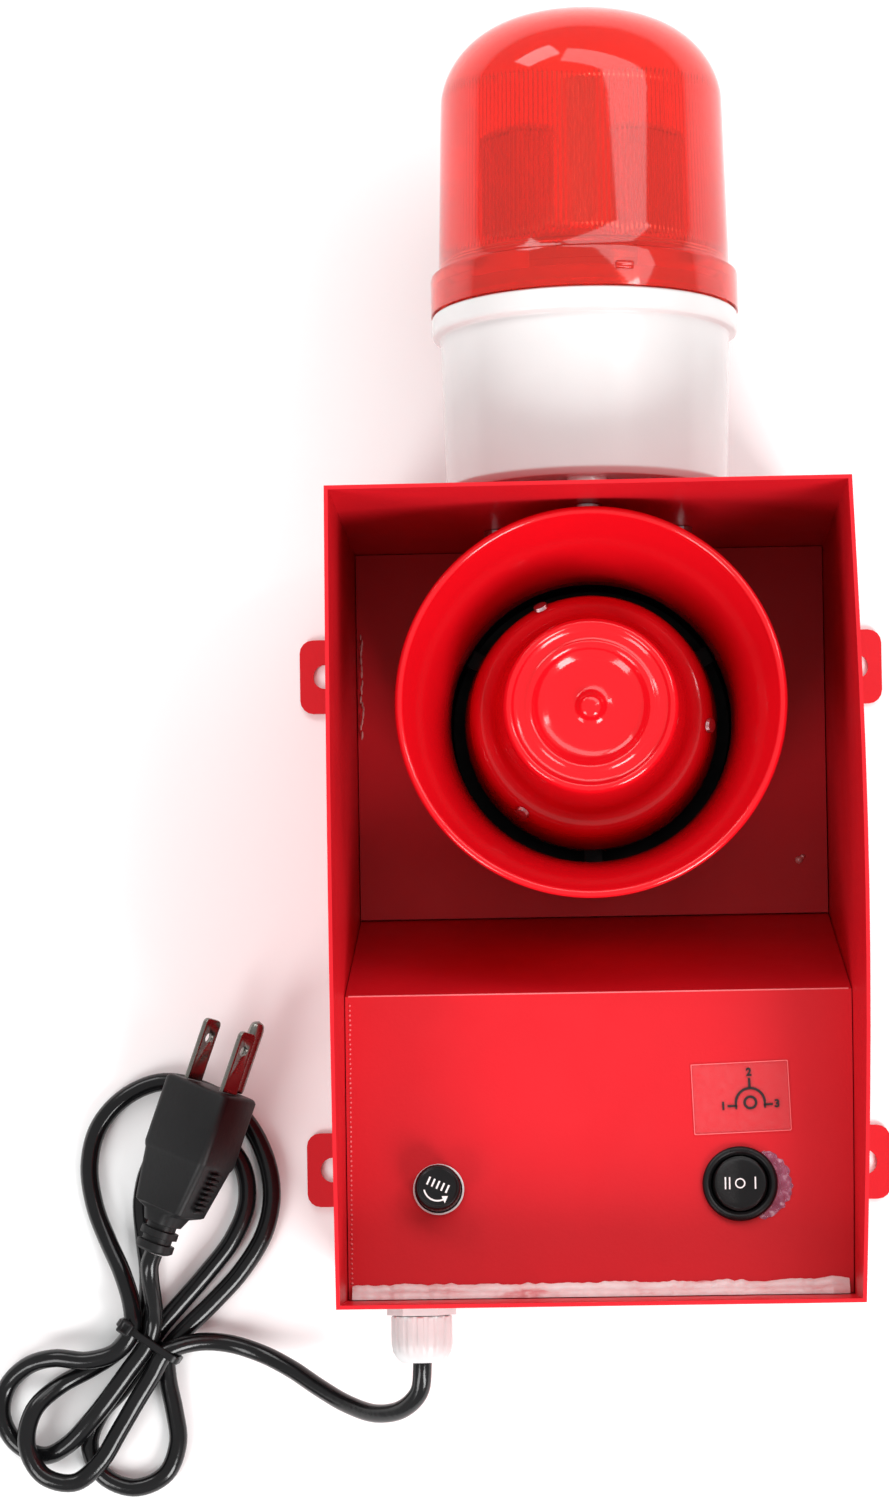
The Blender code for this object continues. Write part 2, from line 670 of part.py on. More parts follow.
def make_electronics():
    """The siren board on its carrier behind the panel, with the three parts that stand on it."""
    carrier = block("board_carrier", (-0.046, -0.110, 0.0018), (0.046, -0.045, 0.0038), black_plastic())
    for x in (-0.040, 0.040):
        for y in (-0.105, -0.050):
            add(carrier, round_bar(f"carrier_post_{x}_{y}", 0.003, 0.003, 0.0120, None, at(x, y, 0), 12))
    block("siren_board", (-0.043, -0.108, 0.0123), (0.043, -0.047, 0.0139), circuit_board())
    tape = material("yellow_tape", (0.80, 0.62, 0.12), 0.4)
    block("transformer", (-0.036, -0.101, 0.0142), (-0.006, -0.070, 0.0400), tape, bevel=0.002)
    can = [(0, 0.0142), (0.0065, 0.0142), (0.0065, 0.0335), (0.0058, 0.0345), (0, 0.0345)]
    sleeve = material("capacitor_sleeve", (0.02, 0.05, 0.18), 0.3)
    turned("capacitor", can, sleeve, at(0.012, -0.086, 0), 20)
    green = material("green_plastic", (0.03, 0.30, 0.10), 0.4)
    block("terminal_block", (-0.020, -0.0580, 0.0142), (0.020, -0.0490, 0.0260), green, bevel=0.0006)


# Controls


def make_switch():
    """A round rocker switch: its case, and a ball-sided rocker whose face is cut to a shallow V."""
    frame = panel_frame(SWITCH_X, SWITCH_Y)
    profile = [
        (0, -0.0220), (0.0098, -0.0220), (0.0098, GAP), (0.0117, GAP), (0.0117, 0.0016), (0.0110, 0.0024),
        (0.0094, 0.0024), (0.0090, 0.0016), (0.0090, -0.0090), (0, -0.0090),
    ]
    body = turned("switch_body", profile, black_plastic(), frame, 40)
    for number, x in enumerate((-0.006, 0.0, 0.006), 1):
        low, high = (x - 0.0004, -0.0024, -0.0290), (x + 0.0004, 0.0024, -0.0215)
        add(body, block(f"switch_lug_{number}", low, high, None, frame))
    ball = arc(0, 0, ROCKER_RADIUS, -28.6, 28.6, 4)
    profile = [(0, ball[0][1])] + ball + [(0, ball[-1][1])]
    rocker = turned("switch_rocker", profile, black_plastic(), frame, 32)
    valley = [(-0.012, 0.0052), (0.0, 0.0020), (0.012, 0.0052), (0.012, 0.010), (-0.012, 0.010)]
    upright = frame @ Matrix.Rotation(math.radians(90), 4, "X")
    cut(rocker, prism("rocker_valley", valley, -0.012, 0.012, None, upright))


def make_fuse_holder():
    frame = panel_frame(FUSE_X, FUSE_Y)
    profile = [
        (0, -0.0300), (0.0060, -0.0300), (0.0060, GAP), (0.0078, GAP), (0.0078, 0.0012), (0.0070, 0.0018),
        (0.0042, 0.0018), (0.0042, -0.0270), (0, -0.0270),
    ]
    body = turned("fuse_holder_body", profile, black_plastic(), frame, 32)
    for number, x in enumerate((-0.003, 0.003), 1):
        low, high = (x - 0.0004, -0.002, -0.0360), (x + 0.0004, 0.002, -0.0295)
        add(body, block(f"fuse_lug_{number}", low, high, None, frame))
    hex_nut("fuse_holder_nut", 0.0085, 0.0064, -0.0045, -0.0015, black_plastic(), frame)
    cap = [
        (0, -0.0040), (0.0038, -0.0040), (0.0038, 0.0021), (0.0071, 0.0021), (0.0071, 0.0094),
        (0.0064, 0.0102), (0, 0.0102),
    ]
    turned("fuse_cap", cap, black_plastic(), frame, 32)
    round_bar("fuse_link", 0.0026, -0.0243, -0.0043, nickel(), frame, 16)


def make_label():
    frame = panel_frame(LABEL_X, LABEL_Y) @ Matrix.Rotation(math.radians(2), 4, "Z")
    block("position_label", (-0.0152, -0.0111, GAP), (0.0152, 0.0111, GAP + 0.0002), film(), frame)


# Gland, lead and plug


def make_gland():
    frame = at(GLAND_X, -BOX_HALF_Y, GLAND_Z) @ ALONG_MINUS_Y
    body = ring("gland_body", 0.0036, 0.0076, -0.0080, 0.0125, nylon(), frame, 24)
    add(body, ring("gland_hexagon", 0.0050, 0.0112, GAP, 0.0056, None, frame, 6))
    hex_nut("gland_locknut", 0.0110, 0.0080, -0.0065, -0.0015, nylon(), frame)
    ring("gland_seal", 0.0036, 0.0070, 0.0128, 0.0165, black_rubber(), frame, 24)
    nut = [
        (0.0079, 0.0059), (0.0099, 0.0059), (0.0099, 0.0155), (0.0094, 0.0175), (0.0084, 0.0196),
        (0.0068, GLAND_LENGTH), (0.0036, GLAND_LENGTH), (0.0036, 0.0168), (0.0079, 0.0168),
    ]
    turned("gland_dome_nut", nut, nylon(), frame, 32)


def cord_route():
    """The lead's route from inside the gland, through a loose tied hank, to the plug."""
    first_lead = [
        (-0.0580, -0.1170, 0.0600), (-0.0580, -0.1320, 0.0600), (-0.0580, -0.1470, 0.0600),
        (-0.0592, -0.1555, 0.0572), (-0.0650, -0.1615, 0.0510), (-0.0740, -0.1635, 0.0425),
        (-0.0840, -0.1610, 0.0325), (-0.0940, -0.1560, 0.0225), (-0.1040, -0.1500, 0.0140),
        (-0.1145, -0.1450, 0.0085), (-0.1260, -0.1415, 0.0068), (-0.1370, -0.1410, 0.0088),
        (-0.1465, -0.1442, 0.0114),
    ]
    low_left = [
        (-0.1510, -0.1515, 0.0108), (-0.1570, -0.1610, 0.0101), (-0.1630, -0.1710, 0.0101),
        (-0.1690, -0.1805, 0.0101), (-0.1780, -0.1875, 0.0101), (-0.1885, -0.1850, 0.0101),
        (-0.1940, -0.1745, 0.0101), (-0.1915, -0.1630, 0.0090), (-0.1830, -0.1550, 0.0050),
        (-0.1730, -0.1497, 0.0033), (-0.1640, -0.1440, 0.0037), (-0.1577, -0.1364, 0.0045),
    ]
    high_inner = [
        (-0.1538, -0.1290, 0.0038), (-0.1528, -0.1180, 0.0033), (-0.1540, -0.1050, 0.0033),
        (-0.1545, -0.0920, 0.0033), (-0.1505, -0.0795, 0.0033), (-0.1405, -0.0715, 0.0033),
        (-0.1285, -0.0725, 0.0033), (-0.1205, -0.0815, 0.0033), (-0.1190, -0.0940, 0.0033),
        (-0.1240, -0.1065, 0.0033), (-0.1328, -0.1177, 0.0033), (-0.1415, -0.1274, 0.0034),
        (-0.1477, -0.1343, 0.0040), (-0.1521, -0.1403, 0.0045),
    ]
    low_inner = [
        (-0.1565, -0.1485, 0.0038), (-0.1625, -0.1570, 0.0033), (-0.1695, -0.1645, 0.0033),
        (-0.1735, -0.1750, 0.0033), (-0.1691, -0.1856, 0.0033), (-0.1585, -0.1900, 0.0033),
        (-0.1479, -0.1856, 0.0033), (-0.1435, -0.1750, 0.0033), (-0.1446, -0.1640, 0.0033),
        (-0.1466, -0.1535, 0.0037), (-0.1465, -0.1442, 0.0045),
    ]
    high_outer = [
        (-0.1407, -0.1371, 0.0038), (-0.1312, -0.1280, 0.0033), (-0.1211, -0.1172, 0.0033),
        (-0.1130, -0.1040, 0.0033), (-0.1105, -0.0900, 0.0033), (-0.1140, -0.0750, 0.0033),
        (-0.1220, -0.0630, 0.0033), (-0.1340, -0.0555, 0.0033), (-0.1475, -0.0530, 0.0033),
        (-0.1600, -0.0580, 0.0033), (-0.1690, -0.0680, 0.0033), (-0.1723, -0.0810, 0.0033),
        (-0.1705, -0.0950, 0.0035), (-0.1660, -0.1065, 0.0060), (-0.1610, -0.1170, 0.0098),
        (-0.1578, -0.1280, 0.0109), (-0.1577, -0.1364, 0.0114),
    ]
    low_far_left = [
        (-0.1630, -0.1435, 0.0109), (-0.1730, -0.1465, 0.0103), (-0.1845, -0.1456, 0.0090),
        (-0.1940, -0.1483, 0.0055), (-0.2013, -0.1553, 0.0033), (-0.2032, -0.1650, 0.0033),
        (-0.1985, -0.1743, 0.0033), (-0.1893, -0.1788, 0.0033), (-0.1805, -0.1750, 0.0077),
        (-0.1715, -0.1660, 0.0103), (-0.1590, -0.1500, 0.0106), (-0.1521, -0.1403, 0.0114),
    ]
    last_lead = [(-0.1500, -0.1325, 0.0134), (-0.1498, -0.1258, 0.0184), (-0.1501, -0.1186, 0.0234)]
    route = first_lead + low_left + high_inner + low_inner + high_outer + low_far_left + last_lead
    heading = plug_frame().to_3x3() @ Vector((0, 0, 1))
    end = PLUG_FACE - heading * (PLUG_LENGTH + 2 * GAP)
    return [Vector(point) for point in route] + [end - heading * 0.004, end]


def smooth_curve(points, per_span):
    """A centripetal Catmull-Rom curve through the points."""
    padded = [points[0] * 2 - points[1]] + points + [points[-1] * 2 - points[-2]]
    line = []
    for p0, p1, p2, p3 in zip(padded, padded[1:], padded[2:], padded[3:]):
        t1 = (p1 - p0).length ** 0.5
        t2 = t1 + (p2 - p1).length ** 0.5
        t3 = t2 + (p3 - p2).length ** 0.5
        for step in range(per_span):
            t = t1 + (t2 - t1) * step / per_span
            a1 = p0.lerp(p1, t / t1)
            a2 = p1.lerp(p2, (t - t1) / (t2 - t1))
            a3 = p2.lerp(p3, (t - t2) / (t3 - t2))
            b1 = a1.lerp(a2, t / t2)
            b2 = a2.lerp(a3, (t - t1) / (t3 - t1))
            line.append(b1.lerp(b2, (t - t1) / (t2 - t1)))
    return line + [points[-1]]


def turning(before, here, after):
    """The angle that a line turns through at a point."""
    return (here - before).angle(after - here, 0.0)


def resampled(line, count):
    """Points along a fine line, closer together where it bends."""
    travelled = [0.0]
    for index in range(1, len(line)):
        step = (line[index] - line[index - 1]).length
        if index + 1 < len(line):
            step += BEND_WEIGHT * turning(line[index - 1], line[index], line[index + 1])
        travelled.append(travelled[-1] + step)
    chosen = []
    index = 0
    for step in range(count):
        wanted = travelled[-1] * step / (count - 1)
        while index < len(line) - 2 and travelled[index + 1] < wanted:
            index += 1
        share = (wanted - travelled[index]) / (travelled[index + 1] - travelled[index])
        chosen.append(line[index].lerp(line[index + 1], min(share, 1.0)))
    return chosen


def tube(name, points, radius, finish, sides=2):
    """A round tube along the points, with capped ends."""
    curve = bpy.data.curves.new(name, "CURVE")
    curve.dimensions = "3D"
    curve.bevel_depth = radius
    curve.bevel_resolution = sides
    curve.use_fill_caps = True
    spline = curve.splines.new("POLY")
    spline.points.add(len(points) - 1)
    for target, point in zip(spline.points, points):
        target.co = (*point, 1.0)
    curve.materials.append(finish)
    obj = bpy.data.objects.new(name, curve)
    bpy.context.scene.collection.objects.link(obj)
    return obj


def make_cables():
    cord = resampled(smooth_curve(cord_route(), 12), CORD_SAMPLES)
    tube("power_cord", cord, CORD_RADIUS, black_rubber())
    beacon_wire = [
        (0, 0.165, 0.075), (0, 0.140, 0.075), (0, 0.1225, 0.0750), (0, 0.1183, 0.0720),
        (0, 0.1165, 0.064), (0, 0.1165, 0.035), (0, 0.1160, 0.018), (0, 0.1135, 0.0095),
        (0, 0.1060, 0.0055), (0, 0.060, 0.0052), (0, 0.020, 0.0052), (0, -0.010, 0.0060),
        (-0.003, -0.030, 0.014), (-0.008, -0.044, 0.022),
    ]
    line = smooth_curve([Vector(point) for point in beacon_wire], 6)
    tube("beacon_cable", resampled(line, 34), 0.0018, black_rubber(), 1)
    horn_wire = [
        (HORN_CABLE_X, 0.0810, 0.0155), (HORN_CABLE_X, 0.0812, 0.0110),
        (HORN_CABLE_X, 0.0780, 0.0062), (HORN_CABLE_X, 0.0680, 0.0052),
        (HORN_CABLE_X, 0.020, 0.0052), (HORN_CABLE_X, -0.010, 0.0060), (0.011, -0.030, 0.014),
        (0.009, -0.044, 0.022),
    ]
    line = smooth_curve([Vector(point) for point in horn_wire], 6)
    tube("horn_cable", resampled(line, 24), 0.0018, black_rubber(), 1)


def plug_frame():
    """Local Z runs out of the plug's face, and local X across its blades."""
    turn = Matrix.Rotation(PLUG_YAW, 4, "Z") @ Matrix.Rotation(math.radians(-90) + PLUG_PITCH, 4, "X")
    return Matrix.Translation(PLUG_FACE) @ turn @ Matrix.Rotation(PLUG_ROLL, 4, "Z")


def plug_section(half_top, half_bottom, top, bottom, corner, z):
    """One rounded section of the plug's body, wider on the side of the flat blades."""
    steps = 3
    points = arc(half_top - corner, top - corner, corner, 5, 90, steps)
    points += arc(-half_top + corner, top - corner, corner, 90, 175, steps)
    points += arc(-half_bottom + corner, bottom + corner, corner, 190, 270, steps)
    points += arc(half_bottom - corner, bottom + corner, corner, 270, 350, steps)
    return [(x, y, z) for x, y in points]


def make_plug():
    frame = plug_frame()
    sections = [
        plug_section(0.0062, 0.0052, 0.0062, -0.0062, 0.0050, -PLUG_LENGTH),
        plug_section(0.0070, 0.0060, 0.0066, -0.0072, 0.0050, -0.0440),
        plug_section(0.0106, 0.0066, 0.0070, -0.0126, 0.0030, -0.0430),
        plug_section(0.0134, 0.0078, 0.0076, -0.0166, 0.0030, -0.0255),
        plug_section(0.0142, 0.0082, 0.0078, -0.0172, 0.0030, -0.0240),
        plug_section(0.0142, 0.0082, 0.0078, -0.0172, 0.0030, -0.0010),
        plug_section(0.0134, 0.0074, 0.0070, -0.0164, 0.0026, 0.0),
    ]
    lofted("plug_body", sections, black_plastic(), frame)
    half, tip, thick, corner = BLADE_HALF_WIDTH, BLADE_LENGTH, 0.0009, 0.0015
    outline = [(GAP, -half), (tip - corner, -half), (tip, -half + corner)]
    outline += [(tip, half - corner), (tip - corner, half), (GAP, half)]
    for number, side in enumerate((-1, 1), 1):
        on_edge = frame @ at(side * BLADE_SPACING / 2, 0, 0) @ Matrix.Rotation(math.radians(-90), 4, "Y")
        blade = prism(f"plug_blade_{number}", outline, -thick, thick, nickel(), on_edge)
        hole_place = on_edge @ at(0.7 * BLADE_LENGTH, 0, 0)
        cut(blade, round_bar(f"blade_hole_{number}", 0.0018, -0.002, 0.002, None, hole_place, 12))
    radius, end = GROUND_PIN_RADIUS, GROUND_PIN_LENGTH
    pin = [(0, GAP), (radius, GAP), (radius, end - 0.0022), (radius * 0.7, end - 0.0006), (0, end)]
    turned("plug_ground_pin", pin, nickel(), frame @ at(0, -GROUND_PIN_DROP, 0), 16)


def tie_loop(grow):
    """The band's inner outline, grown outwards by an amount."""
    reach, rise, corner = 0.0115, 0.0073, 0.0022
    points = []
    for index, (x, y) in enumerate(((1, -1), (1, 1), (-1, 1), (-1, -1))):
        start = -90 + 90 * index
        middle = (x * (reach - corner), y * (rise - corner))
        points += arc(*middle, corner + grow, start, start + 90, 4)
    return points


def make_tie():
    """A flat band round the six strands, with its square head on the upper left corner."""
    axes = Matrix((TIE_ACROSS, Vector((0, 0, 1)), -TIE_ALONG)).transposed().to_4x4()
    frame = Matrix.Translation(TIE_MIDDLE) @ axes
    half, band = 0.0013, 0.0008
    shape = bmesh.new()
    rows = []
    for outline in (tie_loop(0.0), tie_loop(band)):
        rows.append([[shape.verts.new((x, y, z)) for x, y in outline] for z in (-half, half)])
    count = len(rows[0][0])
    for index in range(count):
        after = (index + 1) % count
        for low, high in rows:
            shape.faces.new((low[index], low[after], high[after], high[index]))
        for end in (0, 1):
            inner, outer = rows[0][end], rows[1][end]
            shape.faces.new((inner[index], inner[after], outer[after], outer[index]))
    tie = finish_object("cord_tie", shape, black_plastic(), frame)
    add(tie, block("tie_head", (-0.0110, 0.0073, -0.0024), (-0.0064, 0.0113, 0.0024), None, frame, 0.0004))


def main():
    clear_scene()
    make_housing_shell()
    make_back_plate()
    make_hood_back()
    make_control_panel()
    make_sealant_bead()
    make_horn_bell()
    make_throat_and_tube()
    make_reflector()
    make_driver()
    make_bracket()
    make_beacon_base()
    make_lens()
    make_lamp()
    make_electronics()
    make_switch()
    make_fuse_holder()
    make_label()
    make_gland()
    make_cables()
    make_plug()
    make_tie()


main()
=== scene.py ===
"""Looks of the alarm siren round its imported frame: finishes, detailed skins, mains lead, light and camera."""

import math

import bmesh
import bpy
from mathutils import Matrix, Vector, noise


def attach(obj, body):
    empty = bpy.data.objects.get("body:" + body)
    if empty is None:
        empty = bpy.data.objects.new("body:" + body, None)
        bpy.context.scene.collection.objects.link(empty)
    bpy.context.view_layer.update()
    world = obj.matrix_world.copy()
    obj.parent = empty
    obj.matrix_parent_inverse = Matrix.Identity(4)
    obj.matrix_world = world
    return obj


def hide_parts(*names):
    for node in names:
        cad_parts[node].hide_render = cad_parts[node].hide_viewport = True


# Where the frame's main axes lie, in metres, as in the part
HORN_Y = 0.0604
BEACON_Z = 0.075
BEACON_FOOT = 0.0072
BOX_TOP = 0.125
BOX_BOTTOM = -0.125
BOX_FRONT = 0.15
PANEL_TOP = (-0.0287, 0.1)
PANEL_BOTTOM = (-0.1235, 0.11)
PANEL_TILT = math.atan2(PANEL_BOTTOM[1] - PANEL_TOP[1], PANEL_TOP[0] - PANEL_BOTTOM[0])
SWITCH_AT = (0.044, -0.0893)
FUSE_AT = (-0.05, -0.0898)
LABEL_AT = (0.0449, -0.0624)
GLAND_AT = (-0.058, 0.06)
GAP = 0.0003
INK_THICKNESS = 0.00012

# Beacon lens: fine ribs inside its wall, from a height up
LENS_RIBS = 176
RIB_DEPTH = 0.00075
RIB_START = 0.0822

# Rocker: the ball its sides follow, and its dished face above the panel
ROCKER_RADIUS = 0.0087
VALLEY_LOW = 0.002
VALLEY_RISE = 0.0032 / 0.012
VALLEY_ROUNDING = 0.002

# Camera: over the foot point, looking down at a point of the front plane
CAMERA_AT = Vector((-0.001, -0.0749, 1.39))
CAMERA_LENS = 98.6
CAMERA_ROLL = math.radians(0.9)
CAMERA_SHIFT_UP = 0.2
AIM_LEFT, AIM_UP = 0.0454, 0.0274

# Mains lead
CORD_RADIUS = 0.0031
CORD_POINTS = 420
BEND_WEIGHT = 0.014

# Mains plug
PLUG_FACE = Vector((-0.1286, -0.0553, 0.0285))
PLUG_YAW = math.radians(-19.9)
PLUG_PITCH = math.radians(3.0)
PLUG_ROLL = math.radians(145.0)
PLUG_LENGTH = 0.058
BLADE_SPACING = 0.0162
BLADE_LENGTH = 0.0215
BLADE_HALF_WIDTH = 0.0037
GROUND_PIN_DROP = 0.0132
GROUND_PIN_RADIUS = 0.0026
GROUND_PIN_LENGTH = 0.0255

# Tie
TIE_MIDDLE = Vector((-0.1521, -0.1403, 0.00815))
TIE_ACROSS = Vector((0.823, -0.568, 0.0))
TIE_ALONG = Vector((0.568, 0.823, 0.0))

ALONG_Y = Matrix.Rotation(math.radians(-90), 4, "X")
ALONG_MINUS_Y = Matrix.Rotation(math.radians(90), 4, "X")
UPRIGHT = Matrix.Identity(4)

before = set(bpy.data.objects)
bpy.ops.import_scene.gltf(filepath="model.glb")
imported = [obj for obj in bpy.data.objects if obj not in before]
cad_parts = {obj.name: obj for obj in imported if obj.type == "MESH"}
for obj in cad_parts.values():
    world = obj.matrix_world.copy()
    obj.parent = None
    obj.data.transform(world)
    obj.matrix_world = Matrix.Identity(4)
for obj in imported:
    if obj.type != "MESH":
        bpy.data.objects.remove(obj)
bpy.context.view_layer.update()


# Camera and light


def place_camera():
    data = bpy.data.cameras.new("camera")
    data.lens = CAMERA_LENS
    data.sensor_width = 36.0
    data.shift_y = CAMERA_SHIFT_UP
    data.clip_start = 0.05
    data.clip_end = 20.0
    image_up = Vector((math.sin(CAMERA_ROLL), math.cos(CAMERA_ROLL), 0))
    image_right = Vector((math.cos(CAMERA_ROLL), -math.sin(CAMERA_ROLL), 0))
    drop = Vector((0, 0, BOX_FRONT - CAMERA_AT.z))
    forward = (drop - image_right * AIM_LEFT + image_up * AIM_UP).normalized()
    right = forward.cross(image_up).normalized()
    up = right.cross(forward)
    camera = bpy.data.objects.new("camera", data)
    camera.matrix_world = Matrix.Translation(CAMERA_AT) @ Matrix((right, up, -forward)).transposed().to_4x4()
    bpy.context.scene.collection.objects.link(camera)
    bpy.context.scene.camera = camera


def area_light(name, place, target, size, power):
    data = bpy.data.lights.new(name, "AREA")
    data.shape = "RECTANGLE"
    data.size, data.size_y = size
    data.energy = power
    light = bpy.data.objects.new(name, data)
    light.location = place
    light.rotation_euler = (Vector(target) - Vector(place)).to_track_quat("-Z", "Y").to_euler()
    bpy.context.scene.collection.objects.link(light)


def light_scene():
    """Two soft boxes at the beacon's end, a narrow strip, two at the cord's end and a pale studio."""
    area_light("high_right", (0.48, 0.98, 1.25), (0, 0.0, 0.1), (1.8, 0.6), 11)
    area_light("high_left", (-0.9, 1.5, 1.1), (0, 0.0, 0.1), (0.9, 0.6), 9)
    area_light("strip_right", (0.72, 0.42, 1.22), (0, 0.16, 0.075), (0.1, 0.45), 1.6)
    area_light("low_right", (0.7, -1.0, 1.05), (0, -0.05, 0.05), (0.45, 0.8), 20)
    area_light("low_left", (-0.85, -0.85, 1.0), (0, -0.05, 0.05), (0.45, 0.8), 10)
    world = bpy.data.worlds.new("studio")
    world.use_nodes = True
    background = world.node_tree.nodes["Background"]
    background.inputs["Color"].default_value = (1, 1, 1, 1)
    background.inputs["Strength"].default_value = 0.56
    bpy.context.scene.world = world
    bpy.context.scene.view_settings.view_transform = "Standard"


def lay_floor():
    bpy.ops.mesh.primitive_plane_add(size=6.0, location=(0, 0, -0.0004))
    floor = bpy.context.object
    floor.name = "floor"
    floor.data.materials.append(new_material("pale_floor", (0.97, 0.97, 0.97), 0.9)[0])


# Materials


def new_material(name, colour, roughness, metallic=0.0, **sockets):
    """A material and its shader, with the constants set on the shader's own sockets."""
    made = bpy.data.materials.new(name)
    made.use_nodes = True
    shader = made.node_tree.nodes["Principled BSDF"]
    shader.inputs["Base Color"].default_value = (*colour, 1.0)
    shader.inputs["Roughness"].default_value = roughness
    shader.inputs["Metallic"].default_value = metallic
    for socket, value in sockets.items():
        shader.inputs[socket.replace("_", " ")].default_value = value
    return made, shader


def node(made, kind, **settings):
    """A node with its named inputs and properties set."""
    added = made.node_tree.nodes.new(kind)
    for name, value in settings.items():
        if name in added.inputs:
            added.inputs[name].default_value = value
        else:
            setattr(added, name, value)
    return added


def link(made, source, target):
    made.node_tree.links.new(source, target)


def pattern(made, scale, detail=4.0, stretch=(1, 1, 1), rough=0.55):
    """Noise in object space, whose coordinates are metres."""
    where = node(made, "ShaderNodeTexCoord")
    mapping = node(made, "ShaderNodeMapping")
    mapping.inputs["Scale"].default_value = stretch
    link(made, where.outputs["Object"], mapping.inputs["Vector"])
    cloud = node(made, "ShaderNodeTexNoise", Scale=scale, Detail=detail, Roughness=rough)
    link(made, mapping.outputs["Vector"], cloud.inputs["Vector"])
    return cloud.outputs["Fac"]


def ramp(made, source, stops):
    """A colour ramp with stops of (position, colour)."""
    added = node(made, "ShaderNodeValToRGB")
    elements = added.color_ramp.elements
    while len(elements) < len(stops):
        elements.new(0.5)
    for element, (position, colour) in zip(elements, stops):
        element.position = position
        element.color = (*colour, 1.0)
    link(made, source, added.inputs["Fac"])
    return added.outputs["Color"]


def spread(made, source, low, high):
    """The source from 0 to 1 mapped to low to high."""
    added = node(made, "ShaderNodeMapRange")
    added.inputs["To Min"].default_value = low
    added.inputs["To Max"].default_value = high
    link(made, source, added.inputs["Value"])
    return added.outputs["Result"]


def uneven_gloss(made, shader, source, low, high):
    link(made, spread(made, source, low, high), shader.inputs["Roughness"])


def bump(made, shader, source, strength, distance=0.0005):
    added = node(made, "ShaderNodeBump", Strength=strength, Distance=distance)
    link(made, source, added.inputs["Height"])
    link(made, added.outputs["Normal"], shader.inputs["Normal"])


def shaded(colour, factor):
    return tuple(min(1.0, channel * factor) for channel in colour)


def mottled(made, shader, colour, amount, scale):
    """Cloudy variation of a colour by a share on either side."""
    cloud = pattern(made, scale)
    stops = [(0.25, shaded(colour, 1 - amount)), (0.75, shaded(colour, 1 + amount))]
    link(made, ramp(made, cloud, stops), shader.inputs["Base Color"])


def red_paint():
    """Powder coat: orange peel, dust specks and slightly uneven gloss."""
    colour = (0.61, 0.008, 0.016)
    made, shader = new_material("powder_coat", colour, 0.4, Specular_IOR_Level=0.28)
    mottled(made, shader, colour, 0.06, 18.0)
    uneven_gloss(made, shader, pattern(made, 60.0), 0.32, 0.48)
    bump(made, shader, pattern(made, 900.0, 2.0), 0.1, 0.0004)
    return made


def red_gloss():
    """Moulded gloss plastic with faint flow lines."""
    colour = (0.66, 0.004, 0.01)
    made, shader = new_material("red_gloss", colour, 0.16, Specular_IOR_Level=0.45)
    mottled(made, shader, colour, 0.05, 25.0)
    uneven_gloss(made, shader, pattern(made, 120.0), 0.07, 0.16)
    bump(made, shader, pattern(made, 140.0, 3.0, (1, 1, 0.25)), 0.12, 0.0004)
    return made


def lens_red():
    """Clear red polycarbonate."""
    made, shader = new_material(
        "lens_red", (1.0, 0.062, 0.034), 0.06, Transmission_Weight=0.8, IOR=1.5,
        Specular_IOR_Level=0.28,
    )
    uneven_gloss(made, shader, pattern(made, 90.0), 0.04, 0.1)
    bump(made, shader, pattern(made, 60.0, 3.0), 0.05, 0.0004)
    return made


def pale_plastic():
    colour = (0.69, 0.675, 0.67)
    made, shader = new_material(
        "pale_plastic", colour, 0.32, Subsurface_Weight=0.15, Subsurface_Radius=(0.004, 0.003, 0.003)
    )
    mottled(made, shader, colour, 0.03, 30.0)
    uneven_gloss(made, shader, pattern(made, 200.0), 0.16, 0.26)
    bump(made, shader, pattern(made, 1200.0, 2.0), 0.05, 0.0003)
    return made


def nylon():
    colour = (0.59, 0.585, 0.585)
    made, shader = new_material(
        "nylon", colour, 0.38, Subsurface_Weight=0.2, Subsurface_Radius=(0.002, 0.002, 0.002)
    )
    mottled(made, shader, colour, 0.07, 90.0)
    bump(made, shader, pattern(made, 700.0, 2.0), 0.1, 0.0003)
    return made


def black_plastic(name="black_plastic", roughness=(0.25, 0.45), grain=1400.0, strength=0.18):
    colour = (0.006, 0.006, 0.0065)
    made, shader = new_material(name, colour, 0.35, Specular_IOR_Level=0.24)
    mottled(made, shader, colour, 0.25, 60.0)
    uneven_gloss(made, shader, pattern(made, 250.0), *roughness)
    bump(made, shader, pattern(made, grain, 2.0), strength, 0.0003)
    return made


def cord_jacket():
    """Extruded PVC: glossy, with faint unevenness and scuffs."""
    colour = (0.005, 0.005, 0.0055)
    made, shader = new_material("cord_jacket", colour, 0.25, Specular_IOR_Level=0.34)
    mottled(made, shader, colour, 0.3, 70.0)
    uneven_gloss(made, shader, pattern(made, 160.0), 0.1, 0.24)
    bump(made, shader, pattern(made, 420.0, 3.0), 0.14, 0.0004)
    return made


def metal(name, colour, roughness, streak=1.0):
    made, shader = new_material(name, colour, 0.3, metallic=1.0)
    mottled(made, shader, colour, 0.08, 150.0)
    uneven_gloss(made, shader, pattern(made, 500.0, 3.0, (1, streak, 1)), *roughness)
    bump(made, shader, pattern(made, 900.0, 2.0), 0.08, 0.0002)
    return made


def silicone():
    """Milky sealant with a pink cast from the paint beneath."""
    made, shader = new_material(
        "silicone", (0.9, 0.75, 0.74), 0.28, Subsurface_Weight=0.5, Subsurface_Radius=(0.004, 0.002, 0.002)
    )
    stops = [(0.3, (0.66, 0.24, 0.25)), (0.42, (0.76, 0.54, 0.54)), (0.65, (0.82, 0.72, 0.72))]
    link(made, ramp(made, pattern(made, 190.0, 5.0, (0.35, 1, 1)), stops), shader.inputs["Base Color"])
    bump(made, shader, pattern(made, 420.0, 4.0), 0.5, 0.0006)
    return made


